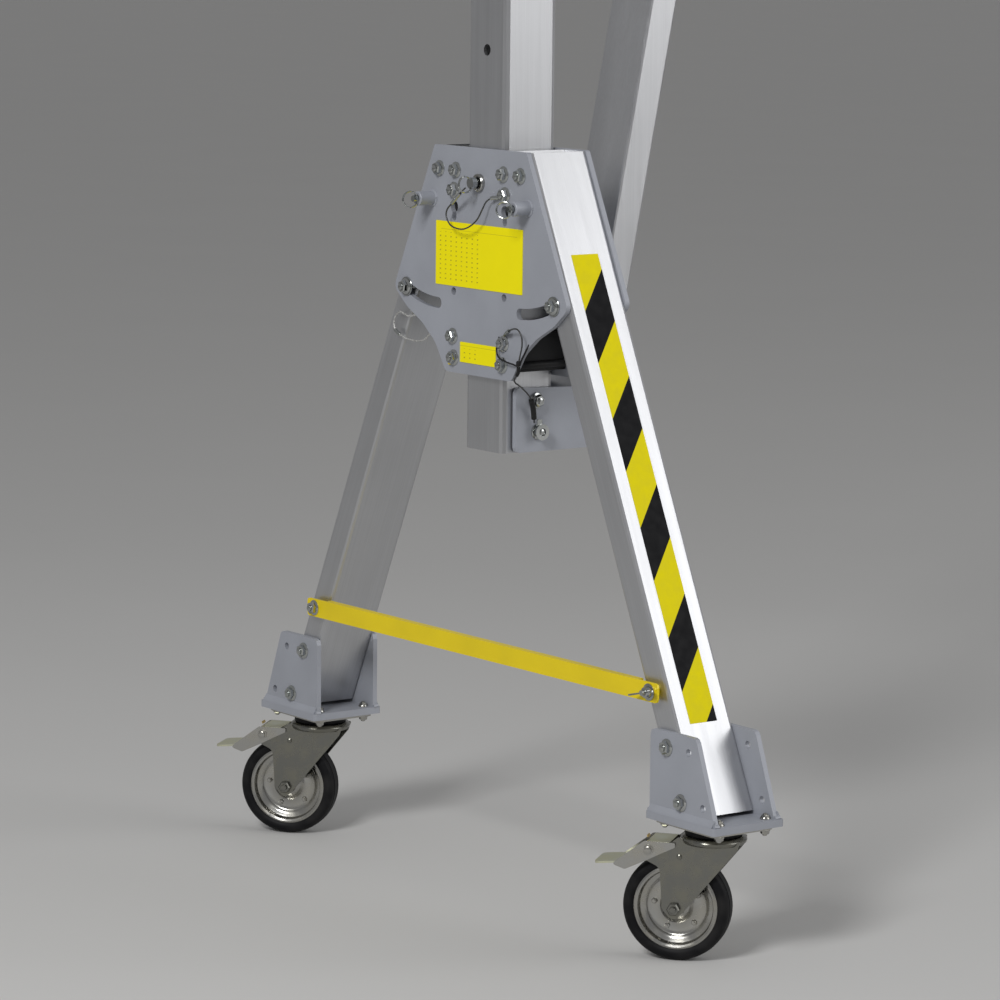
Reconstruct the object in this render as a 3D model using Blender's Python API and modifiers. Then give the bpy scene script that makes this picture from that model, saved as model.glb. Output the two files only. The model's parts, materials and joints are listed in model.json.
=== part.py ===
"""Portable aluminium gantry crane: two folding end frames on castors under one girder.

Metres, +Z up. The girder runs along Y. Each end frame is modelled once about its own
mast axis, then placed at both ends, the far one turned half a turn about Z.
"""
from math import atan2, cos, pi, radians, sin, tan

import bmesh
import bpy
from mathutils import Matrix, Vector

# ---- overall sizes -------------------------------------------------------------------
FRAME_Y = 1.700            # mast axis from the middle of the girder
GIRDER_LENGTH = 4.000
GIRDER_BOTTOM = 2.080
GIRDER_HEIGHT = 0.180
GIRDER_WIDTH = 0.100
GIRDER_FLANGE = 0.012
GIRDER_WEB = 0.008

GAP = 0.0003               # clearance between touching pieces
PIN_CLEAR = 0.0005         # radial clearance of a pin in its hole

# ---- mast ----------------------------------------------------------------------------
MAST_SIDE = 0.095
MAST_WALL = 0.005
MAST_BOTTOM = 0.699
MAST_CORNER = 0.008
MAST_HOLE_R = 0.009
MAST_HOLE_PITCH = 0.200
MAST_HOLES_BELOW = 1
MAST_HOLES_ABOVE = 4
MAST_HEAD_THICK = 0.012
MAST_HEAD_X = 0.140
MAST_HEAD_Y = 0.200

# ---- legs ----------------------------------------------------------------------------
LEG_THICK = 0.046          # across the narrow face
LEG_DEPTH = 0.102          # along the girder
LEG_WALL = 0.004
LEG_CORNER = 0.005
LEG_SPLAY = radians(24.4)
LEG_AXIS_X = 0.1086        # centre line at the pivot's height
PIVOT_X = 0.104
PIVOT_Z = 1.125
PIVOT_R = 0.006
PIVOT_HEAD_R = 0.0105
PIVOT_HEAD_THICK = 0.010
LEG_TOP = 1.160
LEG_FLOOR_GAP = 0.006      # leg end above the foot plate
LEG_SPARE = 0.080          # tube cut away at its two level ends

# ---- head plates ---------------------------------------------------------------------
PLATE_THICK = 0.008
PLATE_TOP = 1.161
PLATE_BOTTOM = 0.814
PLATE_OUTLINE = [          # half outline: x, z, corner radius
    (0.1180, PLATE_TOP, 0.005), (0.2240, 0.9340, 0.016), (0.1900, 0.9060, 0.030),
    (0.1480, 0.8840, 0.060), (0.1130, 0.8570, 0.060), (0.0850, PLATE_BOTTOM, 0.014)]
SLOT_REACH = 0.207         # slot radius about the leg pivot
SLOT_HALF_WIDTH = 0.0085
FOLD_ANGLE = radians(24.0)
FOLD_LIMIT = radians(23.5)  # travel of the leg, just short of the end of its slot
KEY_X = 0.0650
KEY_Z = 1.0685
KEY_R = 0.0095
KEY_SLOT_R = 0.0055
KEY_DROP = 0.016
SPARE_X = 0.0650
SPARE_Z = 0.939
SPARE_R = 0.006

# ---- plungers ------------------------------------------------------------------------
INDEX_Z = 1.109            # centre plunger, in line with one mast hole
INDEX_R = 0.007
INDEX_HEAD_R = 0.0085
INDEX_HEAD_THICK = 0.008
INDEX_TRAVEL = 0.010
LOCK_X = 0.123
LOCK_Z = 1.078
LOCK_R = 0.005
LOCK_SLEEVE_R = 0.011
LOCK_SLEEVE_LENGTH = 0.029
LOCK_STUB = 0.008

# ---- guide collars round the mast ----------------------------------------------------
UPPER_COLLAR = (1.080, 1.140, 0.072)     # bottom, top, half width
LOWER_COLLAR = (0.826, 0.885, 0.076)

# ---- feet; distances along X are from the leg's centre line at the foot plate --------
CASTOR_HEIGHT = 0.2075
FOOT_BASE_THICK = 0.011
FOOT_TOP = CASTOR_HEIGHT + FOOT_BASE_THICK
FOOT_X = LEG_AXIS_X + (PIVOT_Z - FOOT_TOP) * tan(LEG_SPLAY)
CHEEK_THICK = 0.008
CHEEK_IN = 0.0838
CHEEK_OUT = 0.0682
CHEEK_TOP_OUT = 0.0212
CHEEK_HEIGHT = 0.123
CHEEK_CORNER = 0.010
FOOT_BASE_IN = 0.0858
FOOT_BASE_OUT = 0.0732
FOOT_BASE_LEDGE = 0.0062   # base beyond the cheeks, front and rear
FOOT_HOLE_R = 0.006
FOOT_BOLT_RISE = (0.0995, 0.0235)
FOOT_SPARE_OFFSET = 0.050

# ---- castors -------------------------------------------------------------------------
CASTOR_INSET = 0.006807    # swivel axis from the leg's centre line, inward
CASTOR_X = FOOT_X - CASTOR_INSET
CASTOR_YAW = radians(38.6)
CASTOR_TRAIL = 0.052
WHEEL_R = 0.080
TYRE_WIDTH = 0.040
TYRE_DEPTH = 0.017
RIM_R = WHEEL_R - TYRE_DEPTH
RIM_WIDTH = 0.034
HUB_R = 0.014
HUB_WIDTH = 0.046
AXLE_R = 0.006
FORK_THICK = 0.004
FORK_CROWN_R = 0.049
FORK_CROWN_THICK = 0.012
CASTOR_PLATE_X = 0.138
CASTOR_PLATE_Y = 0.112
CASTOR_PLATE_THICK = 0.005
RACE_R = 0.040
RACE_DEPTH = 0.012
PEDAL_PIVOT_X = -0.091
PEDAL_PIVOT_Z = 0.166
PEDAL_R = 0.005
PEDAL_THICK = 0.003
PEDAL_TIP_X = -0.172
TREAD_DROP = 0.022         # foot tread below the pedal's pivot
TREAD_LEAN = radians(5.0)

# ---- tie bar -------------------------------------------------------------------------
TIE_Z = 0.3945
TIE_HEIGHT = 0.029
TIE_DEPTH = 0.013
TIE_WALL = 0.003
TIE_BOLT_INSET = 0.002969  # from the leg's centre line, inward
TIE_BOLT_X = LEG_AXIS_X + (PIVOT_Z - TIE_Z) * tan(LEG_SPLAY) - TIE_BOLT_INSET
TIE_BOLT_R = 0.005
TIE_END = 0.020            # bar end beyond its bolt

# ---- brace and its bracket -----------------------------------------------------------
BRACE_X = 0.100
BRACE_Y = 0.050
BRACE_WALL = 0.003
BRACE_LEAN = radians(11.2)
BRACE_PIVOT_Y = 0.128
BRACE_PIVOT_Z = 0.750
BRACE_FOOT = 0.030         # tube end below its pivot
BRACE_HEAD_THICK = 0.008
BRACKET_THICK = 0.008
BRACKET_FRONT_Y = -0.030
BRACKET_HALF_Z = 0.050
BRACKET_NOSE_R = 0.030

# ---- trolley -------------------------------------------------------------------------
TROLLEY_THICK = 0.010
TROLLEY_HALF_Y = 0.100
TROLLEY_ROLLER_R = 0.030
TROLLEY_ROLLER_Y = 0.062
TROLLEY_DROP = 0.060
EYE_R = 0.045
EYE_HOLE_R = 0.022

# ---- lanyards ------------------------------------------------------------------------
WIRE_R = 0.0012
BRAID_R = 0.0016
HEAD_FACE = -(LEG_DEPTH / 2 + GAP + PLATE_THICK)
SIGNAL_WIRE = [            # loops from a head bolt to the centre plunger
    (0.0560, -0.0608, 1.0890), (0.0440, -0.0660, 1.0890), (0.0330, -0.0705, 1.0830),
    (0.0263, -0.0740, 1.0691), (0.0179, -0.0760, 1.0555), (0.0028, -0.0770, 1.0447),
    (-0.0160, -0.0770, 1.0382), (-0.0351, -0.0765, 1.0379), (-0.0535, -0.0755, 1.0423),
    (-0.0650, -0.0745, 1.0540), (-0.0620, -0.0750, 1.0650), (-0.0460, -0.0775, 1.0755),
    (-0.0203, -0.0810, 1.0927), (-0.0035, -0.0835, 1.1015)]
LOWER_WIRE = [             # hangs from a lower head bolt down to the brace bracket
    (0.0690, -0.0606, 0.8815), (0.0860, -0.0680, 0.8895), (0.1050, -0.0720, 0.8961),
    (0.1195, -0.0735, 0.8965), (0.1285, -0.0730, 0.8870), (0.1260, -0.0700, 0.8720),
    (0.1165, -0.0665, 0.8560), (0.1090, -0.0635, 0.8420), (0.1010, -0.0580, 0.8290),
    (0.0885, -0.0560, 0.8150), (0.0855, -0.0400, 0.8040), (0.0800, -0.0200, 0.7880),
    (0.0700, -0.0060, 0.7690), (0.0640, 0.0010, 0.7450)]
SIDE_LOOP = [              # braided loop below the left shoulder of the head plate
    (-0.1700, -0.0555, 0.8932), (-0.1880, -0.0580, 0.8900), (-0.2090, -0.0590, 0.8950),
    (-0.2230, -0.0590, 0.8820), (-0.2210, -0.0590, 0.8660), (-0.2000, -0.0580, 0.8560),
    (-0.1720, -0.0570, 0.8530), (-0.1480, -0.0560, 0.8560), (-0.1305, -0.0555, 0.8684)]

ROUND_STEPS = 10
SLEEVE_STEPS = 20
FINE_STEPS = 24
CORNER_STEPS = 2
CORD_STEPS = 3             # points between two knots of a lanyard

COLOURS = {                # base colour, roughness, metallic
    "aluminium": ((0.72, 0.72, 0.73), 0.38, 0.9),
    "grey_paint": ((0.27, 0.28, 0.31), 0.5, 0.1),
    "yellow_paint": ((0.80, 0.62, 0.02), 0.4, 0.0),
    "zinc": ((0.62, 0.60, 0.56), 0.3, 1.0),
    "rubber": ((0.02, 0.02, 0.022), 0.75, 0.0),
    "bolt_zinc": ((0.70, 0.69, 0.66), 0.25, 1.0),
    "slide_plastic": ((0.03, 0.03, 0.03), 0.5, 0.0),
    "pedal_zinc": ((0.62, 0.62, 0.50), 0.35, 0.8),
    "steel_wire": ((0.45, 0.45, 0.44), 0.35, 0.9),
    "braid": ((0.75, 0.75, 0.74), 0.5, 0.3)}

# columns are the world directions of a flat outline's own x, y and thickness
UPRIGHT = Matrix(((1, 0, 0, 0), (0, 0, -1, 0), (0, 1, 0, 0), (0, 0, 0, 1)))
SIDEWAYS = Matrix(((0, 0, 1, 0), (1, 0, 0, 0), (0, 1, 0, 0), (0, 0, 0, 1)))
LEVEL = Matrix.Identity(4)


# ---- outlines ------------------------------------------------------------------------
def circle(x, y, radius, steps=ROUND_STEPS):
    """Points round a circle, started off its axis so that no side lies level."""
    angles = [2 * pi * (i + 0.3) / steps for i in range(steps)]
    return [(x + radius * cos(angle), y + radius * sin(angle)) for angle in angles]


def rounded(corners, steps=CORNER_STEPS):
    """Points of a closed outline whose (x, y, radius) corners are rounded off."""
    points = []
    for i, (x, y, radius) in enumerate(corners):
        here = Vector((x, y))
        before = Vector(corners[i - 1][:2]) - here
        after = Vector(corners[(i + 1) % len(corners)][:2]) - here
        half = before.angle(after) / 2
        reach = min(radius / tan(half), 0.48 * before.length, 0.48 * after.length)
        if radius <= 0:
            points.append((x, y))
            continue
        start = here + before.normalized() * reach
        end = here + after.normalized() * reach
        for k in range(steps + 1):
            t = k / steps
            point = start * (1 - t) ** 2 + here * 2 * t * (1 - t) + end * t * t
            points.append((point.x, point.y))
    return points


def box_outline(half_x, half_y, radius=0.0, x=0.0, y=0.0):
    """Rounded rectangle about (x, y)."""
    return rounded([(x - half_x, y - half_y, radius), (x + half_x, y - half_y, radius),
                    (x + half_x, y + half_y, radius), (x - half_x, y + half_y, radius)])


def arc_slot(cx, cy, reach, start, end, half_width):
    """Outline of a slot that follows an arc, with round ends; angles from straight down."""
    def at(angle, radius):
        return (cx + radius * sin(angle), cy - radius * cos(angle))

    def cap(angle, first):
        mid = at(angle, reach)
        turns = [first + pi * k / 4 for k in range(1, 4)]
        return [(mid[0] + half_width * cos(a), mid[1] + half_width * sin(a)) for a in turns]

    steps = 6
    sweep = [start + (end - start) * k / steps for k in range(steps + 1)]
    outer = [at(a, reach + half_width) for a in sweep]
    inner = [at(a, reach - half_width) for a in reversed(sweep)]
    return outer + cap(end, end - pi / 2) + inner + cap(start, start + pi / 2)


def keyhole(x, z):
    """Round hole with a narrow slot below it."""
    miss = atan2(KEY_SLOT_R, KEY_R)
    turns = [-pi / 2 + miss + (2 * pi - 2 * miss) * k / ROUND_STEPS for k in range(ROUND_STEPS + 1)]
    points = [(x + KEY_R * cos(a), z + KEY_R * sin(a)) for a in turns]
    bottom = [pi + pi * k / 4 for k in range(5)]
    return points + [(x + KEY_SLOT_R * cos(a), z - KEY_DROP + KEY_SLOT_R * sin(a)) for a in bottom]


# ---- solids --------------------------------------------------------------------------
def clean(mesh):
    """Weld doubled points and turn every face outward."""
    bm = bmesh.new()
    bm.from_mesh(mesh)
    bmesh.ops.remove_doubles(bm, verts=bm.verts, dist=0.000005)
    bmesh.ops.recalc_face_normals(bm, faces=bm.faces)
    bm.to_mesh(mesh)
    bm.free()
    return mesh


def scratch(mesh):
    """Unlinked working object round a mesh."""
    return bpy.data.objects.new("work", mesh)


def flat(outline, thickness, facing=LEVEL, at=(0, 0, 0), holes=()):
    """Flat solid from an outline and its holes, its thickness centred on `at`."""
    curve = bpy.data.curves.new("outline", "CURVE")
    curve.dimensions = "2D"
    curve.fill_mode = "BOTH"
    curve.extrude = thickness / 2
    for loop in [outline, *holes]:
        spline = curve.splines.new("POLY")
        spline.points.add(len(loop) - 1)
        for point, (x, y) in zip(spline.points, loop):
            point.co = (x, y, 0, 1)
        spline.use_cyclic_u = True
    holder = scratch(curve)
    mesh = bpy.data.meshes.new_from_object(holder)
    bpy.data.objects.remove(holder)
    mesh.transform(Matrix.Translation(at) @ facing)
    return clean(mesh)


def block(low, high):
    """Plain box between two corners."""
    centre = [(a + b) / 2 for a, b in zip(low, high)]
    half = [(b - a) / 2 for a, b in zip(low, high)]
    return flat(box_outline(half[0], half[1]), 2 * half[2], at=centre)


def rod(start, end, radius, steps=ROUND_STEPS):
    """Cylinder between two points."""
    start, end = Vector(start), Vector(end)
    bm = bmesh.new()
    bmesh.ops.create_cone(bm, cap_ends=True, segments=steps, radius1=radius, radius2=radius,
                          depth=(end - start).length)
    mesh = bpy.data.meshes.new("rod")
    bm.to_mesh(mesh)
    bm.free()
    turn = (end - start).to_track_quat("Z", "Y").to_matrix().to_4x4()
    mesh.transform(Matrix.Translation((start + end) / 2) @ turn)
    return clean(mesh)


def lathe(profile, steps):
    """Closed ring turned from an (outer to inner) profile of (radius, height) about Z."""
    mesh = bpy.data.meshes.new("profile")
    points = [(r, 0, z) for r, z in profile]
    count = len(points)
    edges = [((i - 1) % count, i) for i in range(count) if profile[i - 1][0] + profile[i][0] > 0]
    mesh.from_pydata(points, edges, [])
    turned = scratch(mesh)
    bpy.context.scene.collection.objects.link(turned)
    screw = turned.modifiers.new("turn", "SCREW")
    screw.steps = steps
    screw.render_steps = steps
    screw.use_merge_vertices = True
    screw.merge_threshold = 0.00005
    return clean(evaluated(turned))


def evaluated(holder):
    """Mesh of an object with its modifiers applied; the object is removed."""
    bpy.context.view_layer.update()
    graph = bpy.context.evaluated_depsgraph_get()
    mesh = bpy.data.meshes.new_from_object(holder.evaluated_get(graph))
    bpy.data.objects.remove(holder)
    return mesh


def combine(mesh, others, operation):
    """Join `others` to a mesh, or cut them from it, one exact Boolean at a time."""
    collection = bpy.data.collections["cutters"]
    for other in others:
        body, tool = scratch(mesh), scratch(other)
        tool.hide_render = True
        tool.display_type = "WIRE"
        collection.objects.link(body)
        collection.objects.link(tool)
        boolean = body.modifiers.new("boolean", "BOOLEAN")
        boolean.operation = operation
        boolean.solver = "EXACT"
        boolean.object = tool
        mesh = clean(evaluated(body))
        bpy.data.objects.remove(tool)
    return mesh


def tube(width, depth, wall, corner, bottom, top):
    """Square-section tube standing on Z, open at both ends."""
    inner = max(corner - wall, 0.001)
    hollow = box_outline(width / 2 - wall, depth / 2 - wall, inner)
    return flat(box_outline(width / 2, depth / 2, corner), top - bottom,
                at=(0, 0, (top + bottom) / 2), holes=[hollow])


def cord(points, radius):
    """Plain round tube through hand-chosen points, along a smooth curve."""
    knots = [Vector(p) for p in points]
    path = []
    for i in range(len(knots) - 1):
        a, b = knots[max(i - 1, 0)], knots[i]
        c, d = knots[i + 1], knots[min(i + 2, len(knots) - 1)]
        for k in range(CORD_STEPS):
            t = k / CORD_STEPS
            path.append(0.5 * (2 * b + (c - a) * t + (2 * a - 5 * b + 4 * c - d) * t * t
                               + (3 * b - a - 3 * c + d) * t ** 3))
    path.append(knots[-1])
    curve = bpy.data.curves.new("cord", "CURVE")
    curve.dimensions = "3D"
    curve.bevel_depth = radius
    curve.bevel_resolution = 2
    curve.use_fill_caps = True
    spline = curve.splines.new("POLY")
    spline.points.add(len(path) - 1)
    for point, place in zip(spline.points, path):
        point.co = (*place, 1)
    holder = scratch(curve)
    mesh = bpy.data.meshes.new_from_object(holder)
    bpy.data.objects.remove(holder)
    return clean(mesh)


# ---- end frame -----------------------------------------------------------------------
def leg_x(z):
    """Centre line of the right leg at a height."""
    return LEG_AXIS_X + (PIVOT_Z - z) * tan(LEG_SPLAY)


def head_plate(face, with_sleeves):
    """One of the two head plates; `face` is the sign of the side it stands on."""
    half = rounded([(0, PLATE_TOP, 0), *PLATE_OUTLINE, (0, PLATE_BOTTOM, 0)])
    right = [p for p in half if p[0] > 1e-6]
    outline = [*right, *[(-x, z) for x, z in reversed(right)]]
    loops = [circle(0, INDEX_Z, INDEX_R + PIN_CLEAR)]
    slot = arc_slot(PIVOT_X, PIVOT_Z, SLOT_REACH, LEG_SPLAY - FOLD_ANGLE, LEG_SPLAY,
                    SLOT_HALF_WIDTH)
    for side in (1, -1):
        for loop in (slot, keyhole(KEY_X, KEY_Z), circle(SPARE_X, SPARE_Z, SPARE_R),
                     circle(PIVOT_X, PIVOT_Z, PIVOT_R + PIN_CLEAR),
                     circle(LOCK_X, LOCK_Z, LOCK_R + PIN_CLEAR)):
            loops.append([(side * x, z) for x, z in loop])
    middle = LEG_DEPTH / 2 + GAP + PLATE_THICK / 2
    plate = flat(outline, PLATE_THICK, UPRIGHT, (0, face * middle, 0))
    if with_sleeves:
        sleeves = [rod((side * LOCK_X, HEAD_FACE + 0.002, LOCK_Z),
                       (side * LOCK_X, HEAD_FACE - LOCK_SLEEVE_LENGTH, LOCK_Z),
                       LOCK_SLEEVE_R, SLEEVE_STEPS)
                   for side in (1, -1)]
        plate = combine(plate, sleeves, "UNION")
    cutters = [flat(loop, LEG_DEPTH, UPRIGHT, (0, face * middle, 0)) for loop in loops]
    return combine(plate, cutters, "DIFFERENCE")


def collar(bottom, top, half_width):
    """Slide collar between the head plates, round the mast."""
    outside = box_outline(half_width, LEG_DEPTH / 2, 0.002)
    inside = box_outline(MAST_SIDE / 2 + PIN_CLEAR, MAST_SIDE / 2 + PIN_CLEAR, MAST_CORNER)
    ring = flat(outside, top - bottom, at=(0, 0, (top + bottom) / 2), holes=[inside])
    if bottom < INDEX_Z < top:
        drills = [rod((0, 0, INDEX_Z), (0, end * LEG_DEPTH, INDEX_Z), MAST_HOLE_R)
                  for end in (-1, 1)]
        ring = combine(ring, drills, "DIFFERENCE")
    return ring


def folded_lock():
    """Hole, on the open leg, that the leg plunger meets once the leg is folded."""
    reach = Matrix.Rotation(FOLD_LIMIT, 2) @ Vector((LOCK_X - PIVOT_X, LOCK_Z - PIVOT_Z))
    return PIVOT_X + reach.x, PIVOT_Z + reach.y


def leg(side):
    """Splayed leg tube, cut level at both ends, drilled for its pivot and its plunger."""
    low = FOOT_TOP + LEG_FLOOR_GAP
    length = (LEG_TOP - low) / cos(LEG_SPLAY) + LEG_SPARE
    tube_mesh = tube(LEG_THICK, LEG_DEPTH, LEG_WALL, LEG_CORNER, -length / 2, length / 2)
    middle = (LEG_TOP + low) / 2
    turn = Matrix.Rotation(-side * LEG_SPLAY, 4, "Y")
    tube_mesh.transform(Matrix.Translation((side * leg_x(middle), 0, middle)) @ turn)
    ends = [block((-1, -1, LEG_TOP), (1, 1, LEG_TOP + 1)), block((-1, -1, low - 1), (1, 1, low))]
    bores = [(PIVOT_X, PIVOT_Z, PIVOT_R + PIN_CLEAR), (LOCK_X, LOCK_Z, LOCK_R + PIN_CLEAR),
             (*folded_lock(), LOCK_R + PIN_CLEAR)]
    drills = [rod((side * x, -LEG_DEPTH, z), (side * x, LEG_DEPTH, z), r)
              for x, z, r in bores]
    return combine(tube_mesh, ends + drills, "DIFFERENCE")


def pivot_bolt(side):
    """Pivot bolt of a leg: hexagon head and nut outside the two head plates."""
    face = -HEAD_FACE + GAP
    x = side * PIVOT_X
    top = face + PIVOT_HEAD_THICK
    inside = face + PIVOT_HEAD_THICK / 2
    shank = rod((x, -inside, PIVOT_Z), (x, inside, PIVOT_Z), PIVOT_R)
    ends = [rod((x, end * face, PIVOT_Z), (x, end * top, PIVOT_Z), PIVOT_HEAD_R, 6)
            for end in (-1, 1)]
    return combine(shank, ends, "UNION")


def index_plunger():
    """Centre plunger, drawn back so that its tip clears the mast."""
    tip = HEAD_FACE + PLATE_THICK - GAP
    under = HEAD_FACE - INDEX_TRAVEL - GAP
    body = rod((0, tip, INDEX_Z), (0, under - INDEX_HEAD_THICK / 2, INDEX_Z), INDEX_R)
    head = rod((0, under, INDEX_Z), (0, under - INDEX_HEAD_THICK, INDEX_Z), INDEX_HEAD_R, FINE_STEPS)
    return combine(body, [head], "UNION")


def lock_plunger(side):
    """Leg plunger in its sleeve, drawn back so that its tip clears the leg."""
    tip = HEAD_FACE + PLATE_THICK - GAP
    end = HEAD_FACE - LOCK_SLEEVE_LENGTH - LOCK_STUB
    return rod((side * LOCK_X, tip, LOCK_Z), (side * LOCK_X, end, LOCK_Z), LOCK_R)


def foot(side):
    """Welded foot bracket: base plate and two bolted cheeks."""
    centre = FOOT_X + (FOOT_BASE_OUT - FOOT_BASE_IN) / 2
    half_x = (FOOT_BASE_OUT + FOOT_BASE_IN) / 2
    half_y = LEG_DEPTH / 2 + GAP + CHEEK_THICK + FOOT_BASE_LEDGE
    base = flat(box_outline(half_x, half_y, 0.004), FOOT_BASE_THICK,
                at=(side * centre, 0, FOOT_TOP - FOOT_BASE_THICK / 2))
    top = FOOT_TOP + CHEEK_HEIGHT
    sink = FOOT_TOP - 0.002
    outline = rounded([(FOOT_X - CHEEK_IN, sink, 0), (FOOT_X + CHEEK_OUT, sink, 0),
                       (FOOT_X + CHEEK_TOP_OUT, top, CHEEK_CORNER),
                       (FOOT_X - CHEEK_IN, top, CHEEK_CORNER)])
    holes = [circle(leg_x(FOOT_TOP + rise) + FOOT_SPARE_OFFSET, FOOT_TOP + rise, FOOT_HOLE_R)
             for rise in FOOT_BOLT_RISE]
    mirrored = [[(side * x, z) for x, z in loop] for loop in [outline, *holes]]
    middle = LEG_DEPTH / 2 + GAP + CHEEK_THICK / 2
    cheeks = [flat(mirrored[0], CHEEK_THICK, UPRIGHT, (0, face * middle, 0), mirrored[1:])
              for face in (-1, 1)]
    return combine(base, cheeks, "UNION")


def tie_bar():
    """Channel bar across the legs' front faces, with a spacer boss at each bolt."""
    back = -(LEG_DEPTH / 2 + GAP)
    front = back - TIE_DEPTH
    half = TIE_BOLT_X + TIE_END
    web = flat(box_outline(half, TIE_HEIGHT / 2, 0.006), TIE_WALL, UPRIGHT,
               (0, front + TIE_WALL / 2, TIE_Z))
    inset = half - 0.050
    edge = TIE_HEIGHT / 2
    flanges = [block((-inset, front + 0.001, TIE_Z + low), (inset, back, TIE_Z + low + TIE_WALL))
               for low in (-edge, edge - TIE_WALL)]
    bosses = [rod((side * TIE_BOLT_X, front + 0.001, TIE_Z), (side * TIE_BOLT_X, back, TIE_Z),
                  0.010) for side in (1, -1)]
    drills = [rod((side * TIE_BOLT_X, -0.1, TIE_Z), (side * TIE_BOLT_X, 0, TIE_Z), TIE_BOLT_R)
              for side in (1, -1)]
    return combine(combine(web, flanges + bosses, "UNION"), drills, "DIFFERENCE")


def mast():
    """Square mast with its row of index holes and a welded head plate under the girder."""
    top = GIRDER_BOTTOM - GAP
    under = top - MAST_HEAD_THICK
    post = tube(MAST_SIDE, MAST_SIDE, MAST_WALL, MAST_CORNER, MAST_BOTTOM, under + 0.002)
    drills = []
    for k in range(-MAST_HOLES_BELOW, MAST_HOLES_ABOVE + 1):
        z = INDEX_Z + MAST_HOLE_PITCH * k
        drills.append(rod((0, -MAST_SIDE, z), (0, MAST_SIDE, z), MAST_HOLE_R))
    post = combine(post, drills, "DIFFERENCE")
    head = flat(box_outline(MAST_HEAD_X / 2, MAST_HEAD_Y / 2, 0.006), MAST_HEAD_THICK,
                at=(0, 0, top - MAST_HEAD_THICK / 2))
    return combine(post, [head], "UNION")


def brace_bracket():
    """Clevis round the mast's foot that holds the brace: two cheeks and a web behind."""
    inner = BRACE_X / 2 + GAP
    z = BRACE_PIVOT_Z
    cheek = rounded([(BRACKET_FRONT_Y, z - BRACKET_HALF_Z, 0.008),
                     (BRACE_PIVOT_Y + 0.006, z - BRACKET_HALF_Z, BRACKET_NOSE_R),
                     (BRACE_PIVOT_Y + BRACKET_NOSE_R, z, BRACKET_NOSE_R),
                     (BRACE_PIVOT_Y - 0.010, z + BRACKET_HALF_Z - 0.006, BRACKET_NOSE_R),
                     (BRACKET_FRONT_Y, z + BRACKET_HALF_Z, 0.008)])
    cheeks = [flat(cheek, BRACKET_THICK, SIDEWAYS, (side * (inner + BRACKET_THICK / 2), 0, 0))
              for side in (1, -1)]
    pad_in = MAST_SIDE / 2 + GAP
    pad_out = inner + 0.001
    behind = pad_in + BRACKET_THICK
    front = BRACKET_FRONT_Y + 0.008
    saddle = flat([(-pad_out, front), (-pad_in, front), (-pad_in, pad_in), (pad_in, pad_in),
                   (pad_in, front), (pad_out, front), (pad_out, behind), (-pad_out, behind)],
                  2 * (BRACKET_HALF_Z - 0.008), at=(0, 0, z))
    return combine(saddle, cheeks, "UNION")


def brace():
    """Leaning brace tube from the bracket up to a level plate under the girder."""
    top = GIRDER_BOTTOM - GAP
    length = (top - BRACE_PIVOT_Z) / cos(BRACE_LEAN) + 0.1
    post = tube(BRACE_X, BRACE_Y, BRACE_WALL, 0.004, -BRACE_FOOT, length)
    turn = Matrix.Rotation(-BRACE_LEAN, 4, "X")
    post.transform(Matrix.Translation((0, BRACE_PIVOT_Y, BRACE_PIVOT_Z)) @ turn)
    post = combine(post, [block((-1, -1, top - 0.002), (1, 2, top + 1))], "DIFFERENCE")
    middle = BRACE_PIVOT_Y + (top - BRACE_PIVOT_Z) * tan(BRACE_LEAN)
    plate = flat(box_outline(BRACE_X / 2 + 0.010, 0.055, 0.006), BRACE_HEAD_THICK,
                 at=(0, middle, top - BRACE_HEAD_THICK / 2))
    return combine(post, [plate], "UNION")


# ---- castor, about its swivel axis, wheel trailing toward -X -------------------------
def castor_plate():
    """Fixed top plate of a castor with its bearing race below."""
    top = CASTOR_HEIGHT - GAP
    plate = flat(box_outline(CASTOR_PLATE_X / 2, CASTOR_PLATE_Y / 2, 0.008), CASTOR_PLATE_THICK,
                 at=(0, 0, top - CASTOR_PLATE_THICK / 2))
    under = top - CASTOR_PLATE_THICK
    race = rod((0, 0, under + 0.001), (0, 0, under - RACE_DEPTH), RACE_R, FINE_STEPS)
    return combine(plate, [race], "UNION")


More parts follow.
